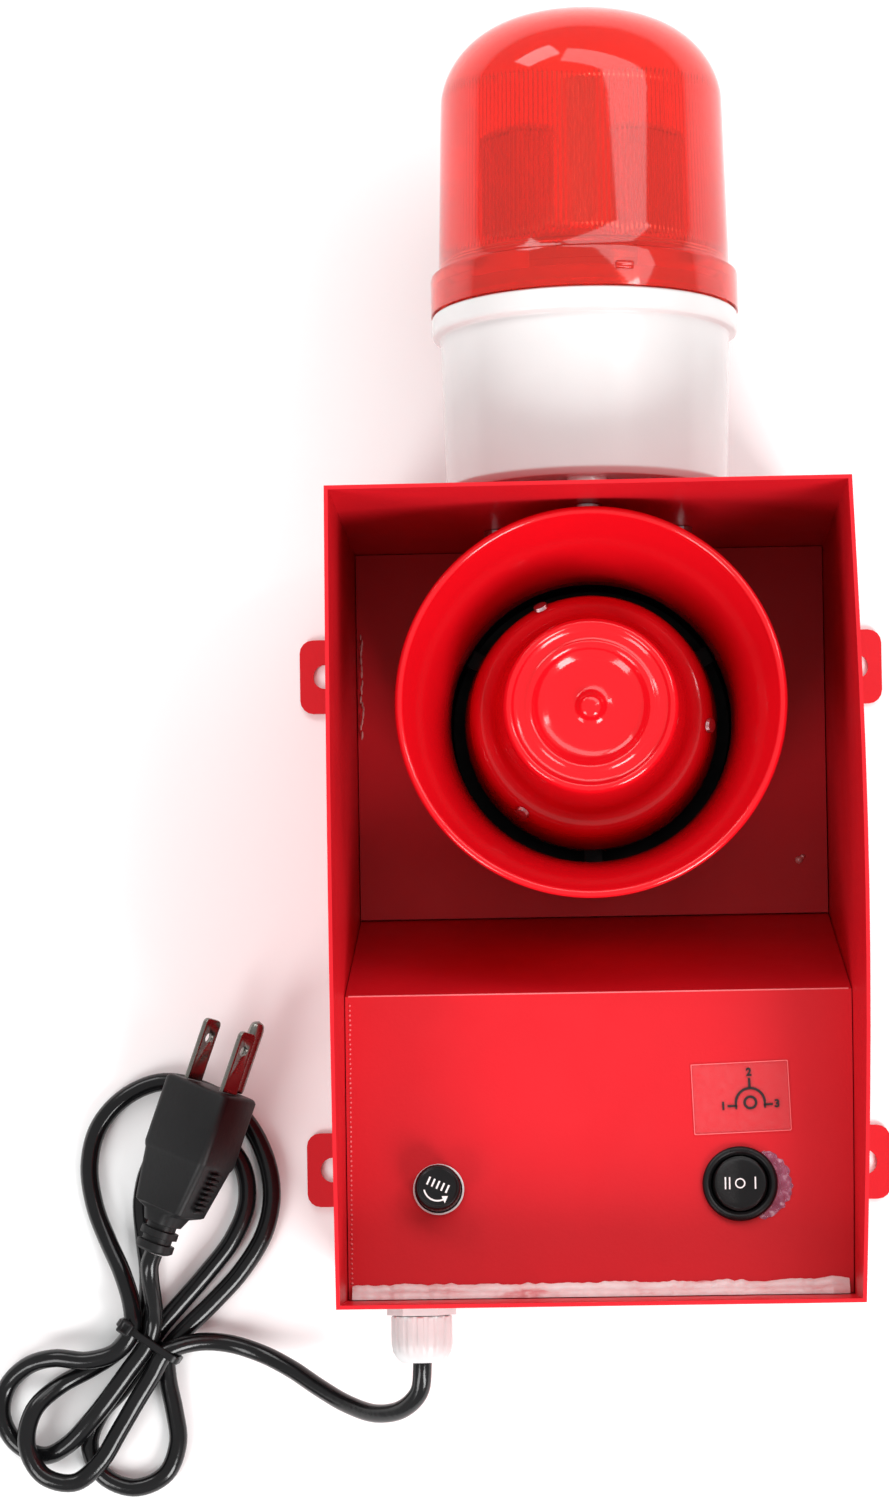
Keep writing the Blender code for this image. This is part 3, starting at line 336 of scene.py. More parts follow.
def board_green():
    """Solder mask over copper tracks."""
    made, shader = new_material("board_green", (0.01, 0.1, 0.04), 0.35)
    where = node(made, "ShaderNodeTexCoord")
    tracks = node(made, "ShaderNodeTexBrick", Scale=160.0)
    tracks.inputs["Color1"].default_value = (0.01, 0.1, 0.04, 1)
    tracks.inputs["Color2"].default_value = (0.015, 0.14, 0.05, 1)
    tracks.inputs["Mortar"].default_value = (0.1, 0.28, 0.1, 1)
    link(made, where.outputs["Object"], tracks.inputs["Vector"])
    link(made, tracks.outputs["Color"], shader.inputs["Base Color"])
    bump(made, shader, tracks.outputs["Fac"], 0.2, 0.0002)
    return made


def plain_detail(name, colour, roughness, grain, strength=0.15, amount=0.12):
    """A coloured plastic or film with mottling, uneven gloss and grain."""
    made, shader = new_material(name, colour, roughness)
    mottled(made, shader, colour, amount, 80.0)
    uneven_gloss(made, shader, pattern(made, 300.0), roughness * 0.8, roughness * 1.3)
    bump(made, shader, pattern(made, grain, 3.0), strength, 0.0003)
    return made


def clear_film():
    """Thin clear film that has gone a little cloudy in patches."""
    made, shader = new_material("dial_film", (0.9, 0.4, 0.42), 0.12, Coat_Weight=0.4)
    link(made, spread(made, pattern(made, 420.0, 5.0, rough=0.7), 0.0, 0.09), shader.inputs["Alpha"])
    uneven_gloss(made, shader, pattern(made, 150.0), 0.12, 0.26)
    bump(made, shader, pattern(made, 90.0, 2.0), 0.1, 0.0004)
    return made


def dried_glue():
    """Clear glue, wrinkled and faintly violet."""
    made, shader = new_material(
        "dried_glue", (0.42, 0.1, 0.2), 0.14, Alpha=0.62, Coat_Weight=0.7, Specular_IOR_Level=0.8
    )
    stops = [(0.35, (0.3, 0.03, 0.1)), (0.55, (0.46, 0.12, 0.22)), (0.7, (0.82, 0.62, 0.72))]
    link(made, ramp(made, pattern(made, 380.0, 6.0), stops), shader.inputs["Base Color"])
    bump(made, shader, pattern(made, 520.0, 6.0, (1, 0.4, 1)), 1.0, 0.0012)
    return made


def white_ink():
    colour = (0.86, 0.84, 0.83)
    made, shader = new_material("white_ink", colour, 0.5)
    mottled(made, shader, colour, 0.08, 400.0)
    bump(made, shader, pattern(made, 900.0, 2.0), 0.1, 0.0002)
    return made


# Mesh helpers


def finish_mesh(name, shape, finish, matrix=UPRIGHT, smooth=35.0):
    """Turns a bmesh into a named object with outward faces."""
    bmesh.ops.remove_doubles(shape, verts=shape.verts, dist=1e-7)
    bmesh.ops.recalc_face_normals(shape, faces=shape.faces)
    mesh = bpy.data.meshes.new(name)
    shape.to_mesh(mesh)
    shape.free()
    mesh.shade_smooth()
    mesh.set_sharp_from_angle(angle=math.radians(smooth))
    mesh.materials.append(finish)
    made = bpy.data.objects.new(name, mesh)
    made.matrix_world = matrix
    bpy.context.scene.collection.objects.link(made)
    return made


def turned(name, profile, finish, matrix, segments=128, smooth=35.0, reshape=None):
    """A turned piece about local Z. reshape, if given, moves each vertex of the finished turn."""
    shape = bmesh.new()
    verts = [shape.verts.new((radius, 0.0, height)) for radius, height in profile]
    edges = [shape.edges.new(pair) for pair in zip(verts, verts[1:])]
    if profile[0][0] > 0.0:
        edges.append(shape.edges.new((verts[-1], verts[0])))
    bmesh.ops.spin(
        shape, geom=verts + edges, cent=(0, 0, 0), axis=(0, 0, 1),
        angle=math.tau, steps=segments, use_merge=True,
    )
    if reshape:
        for vert in shape.verts:
            vert.co = reshape(vert.co)
    return finish_mesh(name, shape, finish, matrix, smooth)


def rounded(profile, radius, steps=4):
    """The profile with each corner but its two ends replaced by a small curve of about that radius."""
    softened = [profile[0]]
    for before, here, after in zip(profile, profile[1:], profile[2:]):
        here, before, after = Vector(here), Vector(before), Vector(after)
        reach = min(radius, (before - here).length * 0.45, (after - here).length * 0.45)
        start = here + (before - here).normalized() * reach
        end = here + (after - here).normalized() * reach
        for step in range(steps + 1):
            share = step / steps
            point = start.lerp(here, share).lerp(here.lerp(end, share), share)
            softened.append((point.x, point.y))
    softened.append(profile[-1])
    return softened


def prism(name, outline, low, high, finish, matrix=UPRIGHT, bevel=0.0):
    """An outline of (x, y) points extruded along local Z, with its rims rounded where a bevel is given."""
    shape = bmesh.new()
    face = shape.faces.new([shape.verts.new((x, y, low)) for x, y in outline])
    grown = bmesh.ops.extrude_face_region(shape, geom=[face])["geom"]
    top = [item for item in grown if isinstance(item, bmesh.types.BMVert)]
    bmesh.ops.translate(shape, vec=(0, 0, high - low), verts=top)
    if bevel:
        rims = [edge for edge in shape.edges if abs(edge.verts[0].co.z - edge.verts[1].co.z) < 1e-7]
        bmesh.ops.bevel(shape, geom=rims, offset=bevel, segments=3, profile=0.5, affect="EDGES")
    return finish_mesh(name, shape, finish, matrix)


def block(name, low, high, finish, matrix=UPRIGHT, bevel=0.0003):
    shape = bmesh.new()
    bmesh.ops.create_cube(shape, size=1.0)
    low, high = Vector(low), Vector(high)
    bmesh.ops.scale(shape, vec=high - low, verts=shape.verts)
    bmesh.ops.translate(shape, vec=(high + low) / 2, verts=shape.verts)
    bmesh.ops.bevel(shape, geom=shape.edges[:], offset=bevel, segments=3, profile=0.5, affect="EDGES")
    return finish_mesh(name, shape, finish, matrix)


def lofted(name, rings, finish, matrix=UPRIGHT, smooth=35.0, close=True):
    """A piece through rings of points, each ring having the same number of them."""
    shape = bmesh.new()
    rows = [[shape.verts.new(point) for point in ring] for ring in rings]
    for lower, upper in zip(rows, rows[1:]):
        for index in range(len(lower)):
            after = (index + 1) % len(lower)
            shape.faces.new((lower[index], lower[after], upper[after], upper[index]))
    if close:
        shape.faces.new(rows[0][::-1])
        shape.faces.new(rows[-1])
    return finish_mesh(name, shape, finish, matrix, smooth)


def tube(name, points, radius, finish, sides=6):
    """A round tube along the points, with capped ends."""
    curve = bpy.data.curves.new(name, "CURVE")
    curve.dimensions = "3D"
    curve.bevel_depth = radius
    curve.bevel_resolution = sides
    curve.use_fill_caps = True
    spline = curve.splines.new("POLY")
    spline.points.add(len(points) - 1)
    for target, point in zip(spline.points, points):
        target.co = (*point, 1.0)
    spline.use_smooth = True
    curve.materials.append(finish)
    made = bpy.data.objects.new(name, curve)
    bpy.context.scene.collection.objects.link(made)
    return made


def apply_cut(made, cutter):
    """Cuts one mesh from another and leaves no modifier behind."""
    boolean = made.modifiers.new("cut", "BOOLEAN")
    boolean.solver = "EXACT"
    boolean.operation = "DIFFERENCE"
    boolean.object = cutter
    bpy.context.view_layer.update()
    mesh = bpy.data.meshes.new_from_object(made.evaluated_get(bpy.context.evaluated_depsgraph_get()))
    made.modifiers.clear()
    old = made.data
    made.data = mesh
    bpy.data.meshes.remove(old)
    bpy.data.objects.remove(cutter, do_unlink=True)


def arc(centre_x, centre_y, radius, start, end, steps):
    """Points on an arc, with its angles in degrees."""
    angles = [math.radians(start + (end - start) * step / steps) for step in range(steps + 1)]
    return [(centre_x + radius * math.cos(a), centre_y + radius * math.sin(a)) for a in angles]


def circle(radius, count):
    turns = [math.tau * step / count for step in range(count)]
    return [(radius * math.cos(turn), radius * math.sin(turn)) for turn in turns]


def polar(radius, degrees):
    angle = math.radians(degrees)
    return radius * math.cos(angle), radius * math.sin(angle)


def at(x, y, z):
    return Matrix.Translation((x, y, z))


def pushed_in(point, depth):
    """The point moved towards local Z by a depth."""
    factor = 1 - depth / math.hypot(point.x, point.y)
    return Vector((point.x * factor, point.y * factor, point.z))


def settle(made, slot, *nodes, body="siren"):
    """The piece rides on a body and stands for the named CAD nodes, which it hides. The slot is not used."""
    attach(made, body)
    if nodes:
        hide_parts(*nodes)
    return made


def panel_frame(place, out=0.0):
    """A frame on the panel: local Z is the panel's outward normal and local Y runs up the panel."""
    x, y = place
    along = (PANEL_TOP[0] - y) / (PANEL_TOP[0] - PANEL_BOTTOM[0])
    z = PANEL_TOP[1] + along * (PANEL_BOTTOM[1] - PANEL_TOP[1])
    foot = Vector((x, y + out * math.sin(PANEL_TILT), z + out * math.cos(PANEL_TILT)))
    return Matrix.Translation(foot) @ Matrix.Rotation(-PANEL_TILT, 4, "X")


def plug_frame():
    """Local Z runs out of the plug's face, and local X across its blades."""
    turn = Matrix.Rotation(PLUG_YAW, 4, "Z") @ Matrix.Rotation(math.radians(-90) + PLUG_PITCH, 4, "X")
    return Matrix.Translation(PLUG_FACE) @ turn @ Matrix.Rotation(PLUG_ROLL, 4, "Z")


def keep(node_name, finish, bevel=0.0):
    """A CAD node stays, with a finish and, where it has sharp rims, a fine bevel."""
    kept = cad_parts[node_name]
    kept.data.materials.clear()
    kept.data.materials.append(finish)
    if bevel:
        edge = kept.modifiers.new("rims", "BEVEL")
        edge.width = bevel
        edge.segments = 2
        edge.limit_method = "ANGLE"
        edge.angle_limit = math.radians(40)
        edge.harden_normals = True


# Mains lead


def cord_route():
    """The lead's route from inside the gland, through a loose tied hank, to the plug."""
    first_lead = [
        (-0.058, -0.117, 0.06), (-0.058, -0.132, 0.06), (-0.058, -0.147, 0.06),
        (-0.0592, -0.1555, 0.0572), (-0.065, -0.1615, 0.051), (-0.074, -0.1635, 0.0425),
        (-0.084, -0.161, 0.0325), (-0.094, -0.156, 0.0225), (-0.104, -0.15, 0.014),
        (-0.1145, -0.145, 0.0085), (-0.126, -0.1415, 0.0068), (-0.137, -0.141, 0.0088),
        (-0.1465, -0.1442, 0.0114),
    ]
    low_left = [
        (-0.151, -0.1515, 0.0108), (-0.157, -0.161, 0.0101), (-0.163, -0.171, 0.0101),
        (-0.169, -0.1805, 0.0101), (-0.178, -0.1875, 0.0101), (-0.1885, -0.185, 0.0101),
        (-0.194, -0.1745, 0.0101), (-0.1915, -0.163, 0.009), (-0.183, -0.155, 0.005),
        (-0.173, -0.1497, 0.0033), (-0.164, -0.144, 0.0037), (-0.1577, -0.1364, 0.0045),
    ]
    high_inner = [
        (-0.1538, -0.129, 0.0038), (-0.1528, -0.118, 0.0033), (-0.154, -0.105, 0.0033),
        (-0.1545, -0.092, 0.0033), (-0.1505, -0.0795, 0.0033), (-0.1405, -0.0715, 0.0033),
        (-0.1285, -0.0725, 0.0033), (-0.1205, -0.0815, 0.0033), (-0.119, -0.094, 0.0033),
        (-0.124, -0.1065, 0.0033), (-0.1328, -0.1177, 0.0033), (-0.1415, -0.1274, 0.0034),
        (-0.1477, -0.1343, 0.004), (-0.1521, -0.1403, 0.0045),
    ]
    low_inner = [
        (-0.1565, -0.1485, 0.0038), (-0.1625, -0.157, 0.0033), (-0.1695, -0.1645, 0.0033),
        (-0.1735, -0.175, 0.0033), (-0.1691, -0.1856, 0.0033), (-0.1585, -0.19, 0.0033),
        (-0.1479, -0.1856, 0.0033), (-0.1435, -0.175, 0.0033), (-0.1446, -0.164, 0.0033),
        (-0.1466, -0.1535, 0.0037), (-0.1465, -0.1442, 0.0045),
    ]
    high_outer = [
        (-0.1407, -0.1371, 0.0038), (-0.1312, -0.128, 0.0033), (-0.1211, -0.1172, 0.0033),
        (-0.113, -0.104, 0.0033), (-0.1105, -0.09, 0.0033), (-0.114, -0.075, 0.0033),
        (-0.122, -0.063, 0.0033), (-0.134, -0.0555, 0.0033), (-0.1475, -0.053, 0.0033),
        (-0.16, -0.058, 0.0033), (-0.169, -0.068, 0.0033), (-0.1723, -0.081, 0.0033),
        (-0.1705, -0.095, 0.0035), (-0.166, -0.1065, 0.006), (-0.161, -0.117, 0.0098),
        (-0.1578, -0.128, 0.0109), (-0.1577, -0.1364, 0.0114),
    ]
    low_far_left = [
        (-0.163, -0.1435, 0.0109), (-0.173, -0.1465, 0.0103), (-0.1845, -0.1456, 0.009),
        (-0.194, -0.1483, 0.0055), (-0.2013, -0.1553, 0.0033), (-0.2032, -0.165, 0.0033),
        (-0.1985, -0.1743, 0.0033), (-0.1893, -0.1788, 0.0033), (-0.1805, -0.175, 0.0077),
        (-0.1715, -0.166, 0.0103), (-0.159, -0.15, 0.0106), (-0.1521, -0.1403, 0.0114),
    ]
    last_lead = [(-0.15, -0.1325, 0.0134), (-0.1498, -0.1258, 0.0184), (-0.1501, -0.1186, 0.0234)]
    route = first_lead + low_left + high_inner + low_inner + high_outer + low_far_left + last_lead
    heading = plug_frame().to_3x3() @ Vector((0, 0, 1))
    end = PLUG_FACE - heading * (PLUG_LENGTH + 2 * GAP)
    return [Vector(point) for point in route] + [end - heading * 0.004, end]


def smooth_curve(points, per_span):
    """A centripetal Catmull-Rom curve through the points."""
    padded = [points[0] * 2 - points[1]] + points + [points[-1] * 2 - points[-2]]
    line = []
    for p0, p1, p2, p3 in zip(padded, padded[1:], padded[2:], padded[3:]):
        t1 = (p1 - p0).length ** 0.5
        t2 = t1 + (p2 - p1).length ** 0.5
        t3 = t2 + (p3 - p2).length ** 0.5
        for step in range(per_span):
            t = t1 + (t2 - t1) * step / per_span
            a1 = p0.lerp(p1, t / t1)
            a2 = p1.lerp(p2, (t - t1) / (t2 - t1))
            a3 = p2.lerp(p3, (t - t2) / (t3 - t2))
            b1 = a1.lerp(a2, t / t2)
            b2 = a2.lerp(a3, (t - t1) / (t3 - t1))
            line.append(b1.lerp(b2, (t - t1) / (t2 - t1)))
    return line + [points[-1]]


def turning(before, here, after):
    """The angle that a line turns through at a point."""
    return (here - before).angle(after - here, 0.0)


def resampled(line, count):
    """Points along a fine line, closer together where it bends."""
    travelled = [0.0]
    for index in range(1, len(line)):
        step = (line[index] - line[index - 1]).length
        if index + 1 < len(line):
            step += BEND_WEIGHT * turning(line[index - 1], line[index], line[index + 1])
        travelled.append(travelled[-1] + step)
    chosen = []
    index = 0
    for step in range(count):
        wanted = travelled[-1] * step / (count - 1)
        while index < len(line) - 2 and travelled[index + 1] < wanted:
            index += 1
        share = (wanted - travelled[index]) / (travelled[index + 1] - travelled[index])
        chosen.append(line[index].lerp(line[index + 1], min(share, 1.0)))
    return chosen


def make_cord(finish):
    """The lead and its length. It runs from the gland's dome nut to the plug."""
    line = resampled(smooth_curve(cord_route(), 14), CORD_POINTS)
    cord = settle(tube("mains_lead", line, CORD_RADIUS, finish, 7), "black_rubber", "power_cord")
    return cord, sum((end - start).length for start, end in zip(line, line[1:]))


def plug_section(size, shrink, z):
    """A rounded section of the plug: wide on the blades' side, narrow on the ground pin's side."""
    half_top, half_bottom, top, bottom, corner = size
    half_top, half_bottom = half_top - shrink, half_bottom - shrink
    top, bottom = top - shrink, bottom + shrink
    steps = 5
    points = arc(half_top - corner, top - corner, corner, 2, 90, steps)
    points += arc(-half_top + corner, top - corner, corner, 90, 178, steps)
    points += arc(-half_bottom + corner, bottom + corner, corner, 190, 270, steps)
    points += arc(half_bottom - corner, bottom + corner, corner, 270, 350, steps)
    return [(x, y, z) for x, y in points]


def plug_sections():
    """Sections from the relief's tip to the face. Two grooves ring the relief."""
    grip = (0.0142, 0.0082, 0.0078, -0.0172, 0.0026)
    waist = (0.0138, 0.0079, 0.0076, -0.0168, 0.0024)
    neck = (0.0106, 0.0066, 0.007, -0.0126, 0.0024)
    relief = (0.0071, 0.0061, 0.0066, -0.0073, 0.004)
    tip = (0.0061, 0.0051, 0.0061, -0.0061, 0.0044)
    sections = [plug_section(tip, 0.0008, -PLUG_LENGTH), plug_section(tip, 0.0, -PLUG_LENGTH + 0.0008)]
    groove = [(0.0, -0.0003), (0.001, 0.0), (0.001, 0.0016), (0.0, 0.0019)]
    for z in (-0.0545, -0.05):
        sections += [plug_section(tip, shrink, z + step) for shrink, step in groove]
    sections += [
        plug_section(relief, 0.0, -0.0445), plug_section(neck, 0.0008, -0.0435),
        plug_section(neck, 0.0, -0.0428), plug_section(waist, 0.0003, -0.0258),
        plug_section(waist, 0.0, -0.025), plug_section(grip, 0.0, -0.0238),
        plug_section(grip, 0.0, -0.0012), plug_section(grip, 0.0004, -0.0004),
        plug_section(grip, 0.001, 0.0),
    ]
    return sections


def plug_ribs(finish, place):
    """Thin grip ribs on the two slanting sides, just behind the step."""
    shape = bmesh.new()
    count, first, pitch = 8, -0.0405, 0.0019
    for side in (-1, 1):
        for number in range(count):
            z = first + pitch * number
            share = (z + 0.0428) / 0.0178
            across = 0.0098 + 0.0024 * share
            lean = Matrix.Rotation(side * math.radians(-20), 4, "Z")
            spot = at(side * (across - 0.0003), -0.0034 - 0.001 * share, z) @ lean
            size = Matrix.Diagonal((0.0012, 0.008, 0.0009, 1.0))
            bmesh.ops.create_cube(shape, size=1.0, matrix=spot @ size)
    bmesh.ops.bevel(shape, geom=shape.edges[:], offset=0.0002, segments=2, profile=0.5, affect="EDGES")
    return settle(finish_mesh("plug_grip_ribs", shape, finish, place), "black_plastic")


def make_blade(number, side, nickel, place):
    half, tip, thick, corner = BLADE_HALF_WIDTH, BLADE_LENGTH, 0.0009, 0.0018
    outline = [(GAP, -half)] + arc(tip - corner, -half + corner, corner, -90, 0, 5)
    outline += arc(tip - corner, half - corner, corner, 0, 90, 5) + [(GAP, half)]
    on_edge = place @ at(side * BLADE_SPACING / 2, 0, 0) @ Matrix.Rotation(math.radians(-90), 4, "Y")
    blade = prism(f"blade_{number}", outline, -thick, thick, nickel, on_edge, 0.0003)
    bore = [(0, -0.002), (0.0018, -0.002), (0.0018, 0.002), (0, 0.002)]
    hole = turned(f"blade_hole_cut_{number}", bore, nickel, on_edge @ at(0.7 * BLADE_LENGTH, 0, 0), 32)
    apply_cut(blade, hole)
    return settle(blade, "nickel", f"plug_blade_{number}")


def make_plug(finish, nickel):
    """Moulded plug with a plain grip, ribbed sides, a grooved relief, two blades and a ground pin."""
    place = plug_frame()
    body = lofted("plug_shell", plug_sections(), finish, place, 40.0)
    made = [settle(body, "black_plastic", "plug_body"), plug_ribs(finish, place)]
    for number, side in enumerate((-1, 1), 1):
        made.append(make_blade(number, side, nickel, place))
    radius, end = GROUND_PIN_RADIUS, GROUND_PIN_LENGTH
    pin = [(0, GAP), (radius, GAP), (radius, end - 0.003), (radius * 0.8, end - 0.0008), (0, end)]
    ground = turned("ground_pin", rounded(pin, 0.001), nickel, place @ at(0, -GROUND_PIN_DROP, 0), 48)
    made.append(settle(ground, "nickel", "plug_ground_pin"))
    return made


def make_tie(finish):
    """A nylon band round the hank's strands, with its ratchet head."""
    axes = Matrix((TIE_ACROSS, Vector((0, 0, 1)), -TIE_ALONG)).transposed().to_4x4()
    place = Matrix.Translation(TIE_MIDDLE) @ axes
    reach, rise, corner, band, half = 0.0115, 0.0073, 0.0022, 0.0008, 0.0013
    shape = bmesh.new()
    rows = []
    inside = [(0.0, half), (band * 0.5, half), (band, half * 0.8)]
    for grow, width in inside + [(grow, -width) for grow, width in reversed(inside)]:
        radius = corner + grow
        points = []
        for index, (x, y) in enumerate(((1, -1), (1, 1), (-1, 1), (-1, -1))):
            start = -90 + 90 * index
            points += arc(x * (reach - corner), y * (rise - corner), radius, start, start + 90, 8)
        rows.append([shape.verts.new((x, y, width)) for x, y in points])
    count = len(rows[0])
    for row, following in zip(rows, rows[1:] + rows[:1]):
        for index in range(count):
            after = (index + 1) % count
            shape.faces.new((row[index], row[after], following[after], following[index]))
    tie = settle(finish_mesh("tie_band", shape, finish, place), "black_plastic", "cord_tie")
    head = block("tie_ratchet", (-0.011, 0.0073, -0.0024), (-0.0064, 0.0111, 0.0024), finish, place, 0.0006)
    slot = block("tie_slot_cut", (-0.0095, 0.01, -0.0014), (-0.0079, 0.013, 0.0014), finish, place, 0.0001)
    apply_cut(head, slot)
    return [tie, settle(head, "black_plastic")]


# Beacon


def beacon_frame():
    return at(0, BOX_TOP, BEACON_Z) @ ALONG_Y


def rib_share(height, angle):
    """How far the inside ribs stand out: not below a wavy line, fully above it and less in the crown."""
    wave = 0.0007 * math.sin(6 * angle) + 0.0004 * math.sin(17 * angle + 1.0)
    rise = min(max((height - RIB_START - wave) / 0.0006, 0.0), 1.0)
    fade = min(max((0.14 - height) / 0.006, 0.0), 1.0)
    return rise * fade


def ribbed(point):
    """Moves a vertex of the lens's inner wall inwards where a rib stands."""
    radius = math.hypot(point.x, point.y)
    if radius > 0.0446 or not 0.08 < point.z < 0.1335:
        return point
    angle = math.atan2(point.y, point.x)
    tooth = 0.5 + 0.5 * math.cos(angle * LENS_RIBS)
    return pushed_in(point, RIB_DEPTH * tooth * rib_share(point.z, angle))


def make_lens(finish):
    """A domed shell with a skirt, ribbed inside, and a small lug on the skirt."""
    crown_base, top, wall, shoulder, foot = 0.133, 0.161, 0.0022, 0.04515, 0.0466
    crown = top - crown_base
    outer = [(0.04925, 0.0651), (0.04925, 0.0762), (0.049, 0.0772), (0.0482, 0.0777), (0.047, 0.078)]
    for step in range(8):
        share = step / 8
        outer.append((foot + (shoulder - foot) * share, 0.079 + (crown_base - 0.079) * share))
    inner = [(0.0467, 0.0651), (0.0467, 0.0738), (0.0444, 0.074), (0.0443, 0.0795)]
    inner += [(0.0438, 0.08), (0.0438, 0.0806), (0.0443, 0.0811)]
    low, high, levels = 0.0815, 0.1325, 24
    for step in range(levels):
        share = step / levels
        inner.append((0.0443 + (shoulder - wall - 0.0443) * share, low + (high - low) * share))
    over, under = [], []
    turns = 16
    for step in range(turns + 1):
        angle = math.radians(90 * step / turns)
        reach, rise = math.cos(angle) ** 0.72, math.sin(angle) ** 1.1
        over.append((shoulder * reach, crown_base + crown * rise))
        under.append(((shoulder - wall) * reach, crown_base + (crown - wall) * rise))
    over[-1] = (0, top)
    under[-1] = (0, top - wall)
    profile = (outer + over)[::-1] + inner + under
    lens = turned("lens_shell", profile, finish, beacon_frame(), LENS_RIBS * 4, 30.0, ribbed)
    settle(lens, "red_lens", "beacon_lens", body="lens")
    turn = Matrix.Rotation(math.radians(195), 4, "Z")
    low, high = (-0.003, 0.048, 0.0698), (0.003, 0.0499, 0.0724)
    settle(block("lens_lug", low, high, finish, beacon_frame() @ turn, 0.0008), "red_lens", body="lens")


def make_beacon_base(finish):
    bottom = BEACON_FOOT
    profile = [
        (0.02, bottom), (0.043, bottom), (0.045, bottom + 0.002), (0.0462, 0.0566), (0.0464, 0.0574),
        (0.0486, 0.058), (0.049, 0.059), (0.049, 0.064), (0.0484, 0.0648), (0.0447, 0.0648),
        (0.0447, 0.072), (0.0427, 0.072), (0.0427, 0.0585), (0.0441, 0.056), (0.043, bottom + 0.0025),
        (0.02, bottom + 0.0025), (0.02, bottom + 0.0012),
    ]
    shell = turned("base_shell", rounded(profile, 0.0005, 3), finish, beacon_frame(), 160)
    settle(shell, "white_plastic", "beacon_base")
    outline = arc(0, 0, 0.0205, 0, 345, 23)
    web = prism("base_web", outline, bottom + 0.0004, bottom + 0.0022, finish, beacon_frame())
    settle(web, "white_plastic")
    for number, angle in enumerate((-90, 30, 150)):
        x, y = polar(0.034, angle)
        foot = [(0, bottom + 0.001), (0.0062, bottom + 0.001), (0.0062, GAP), (0.002, GAP), (0.002, 0.004)]
        foot = rounded(foot, 0.0004) + [(0, 0.004)]
        place = beacon_frame() @ at(x, y, 0)
        settle(turned(f"base_foot_{number}", foot, finish, place, 48), "white_plastic")
        post = [(0, bottom + 0.0022), (0.0046, bottom + 0.0022), (0.0042, 0.05), (0, 0.05)]
        post = rounded(post, 0.0003)
        settle(turned(f"base_post_{number}", post, finish, place, 32), "white_plastic")


# Horn


def bell_radius(z):
    flare = (z - 0.0575) / 0.0675
    return 0.0455 + (0.05925 - 0.0455) * flare ** 2.1


def make_bell(gloss, axis):
    rim, bead, wall = 0.125, 0.0013, 0.0016
    steps = 28
    heights = [0.0575 + (rim - bead - 0.0575) * step / steps for step in range(steps + 1)]
    inner = [(bell_radius(z), z) for z in heights]
    edge = arc(0.06065 - bead, rim - bead, bead, 150, -60, 12)
    outer = [(bell_radius(z) + wall, z) for z in reversed(heights[1:-1])]
    collar = [(0.0494, 0.0585), (0.0494, 0.0463), (0.0491, 0.046), (0.0478, 0.046), (0.0478, 0.0556)]
    profile = inner + edge + outer + collar + [(0.0455, 0.0556)]
    settle(turned("bell_shell", profile, gloss, axis, 192), "red_gloss_plastic", "horn_bell")


def make_cap(gloss, axis):
    """The cap with its stepped nose."""
    nose = [
        (0, 0.1128), (0.0024, 0.1126), (0.0036, 0.1119), (0.0042, 0.1106), (0.006, 0.1097),
        (0.01, 0.1094), (0.014, 0.1098), (0.0165, 0.1108), (0.018, 0.1124), (0.0186, 0.113),
        (0.0196, 0.1134), (0.0204, 0.1131), (0.0212, 0.1126), (0.0228, 0.1127), (0.0242, 0.1131),
        (0.0247, 0.114), (0.0254, 0.1143), (0.0262, 0.1142), (0.0269, 0.1136), (0.0274, 0.1122),
        (0.0277, 0.109), (0.0281, 0.105), (0.0287, 0.0995), (0.0295, 0.094), (0.0304, 0.0892),
        (0.0312, 0.0868), (0.0326, 0.0857), (0.035, 0.0853), (0.0364, 0.0849), (0.0376, 0.0833),
        (0.0385, 0.0812), (0.0385, 0.0803),
    ]
    hollow = [
        (0.037, 0.0803), (0.037, 0.0809), (0.0356, 0.0834), (0.0316, 0.0842), (0.0289, 0.0885),
        (0.0274, 0.097), (0.0262, 0.108), (0.024, 0.1112), (0.015, 0.1088), (0, 0.1078),
    ]
    cap = turned("cap_shell", nose + hollow, gloss, axis, 144, 50.0)
    settle(cap, "red_gloss_plastic", "horn_cap")


def make_reflector(gloss, black, axis):
    """The reflector's skirt on its three spokes."""
    skirt = [(0.0395, 0.05), (0.0412, 0.05), (0.041, 0.0575), (0.0386, 0.08), (0.0371, 0.08)]
    skirt = turned("reflector_skirt", rounded(skirt + [(0.0394, 0.0575)], 0.0004), gloss, axis, 128)
    settle(skirt, "red_gloss_plastic", "horn_reflector")
    # The spokes are black as painted shade: they sit in the dark gap behind the bell and take its shade as
    # their colour.
    for number in range(3):
        turn = Matrix.Rotation(math.radians(30 + 120 * number), 4, "Z")
        low, high = (0.04, -0.003, 0.0502), (0.045, 0.003, 0.0532)
        spoke = block(f"reflector_spoke_{number}", low, high, black, axis @ turn)
        settle(spoke, "black_plastic")


def make_throat_cup(black, axis):
    # Black all over as painted shade: the cup lines the deep annular gap at the bell's throat.
    cup = [
        (0.0093, 0.0363), (0.0475, 0.0363), (0.0475, 0.0553), (0.0455, 0.0553), (0.0455, 0.039),
        (0.0093, 0.039), (0.0093, 0.038),
    ]
    cup = turned("throat_cup", rounded(cup, 0.0005), black, axis, 128)
    settle(cup, "black_plastic", "horn_throat_cup")


# Controls


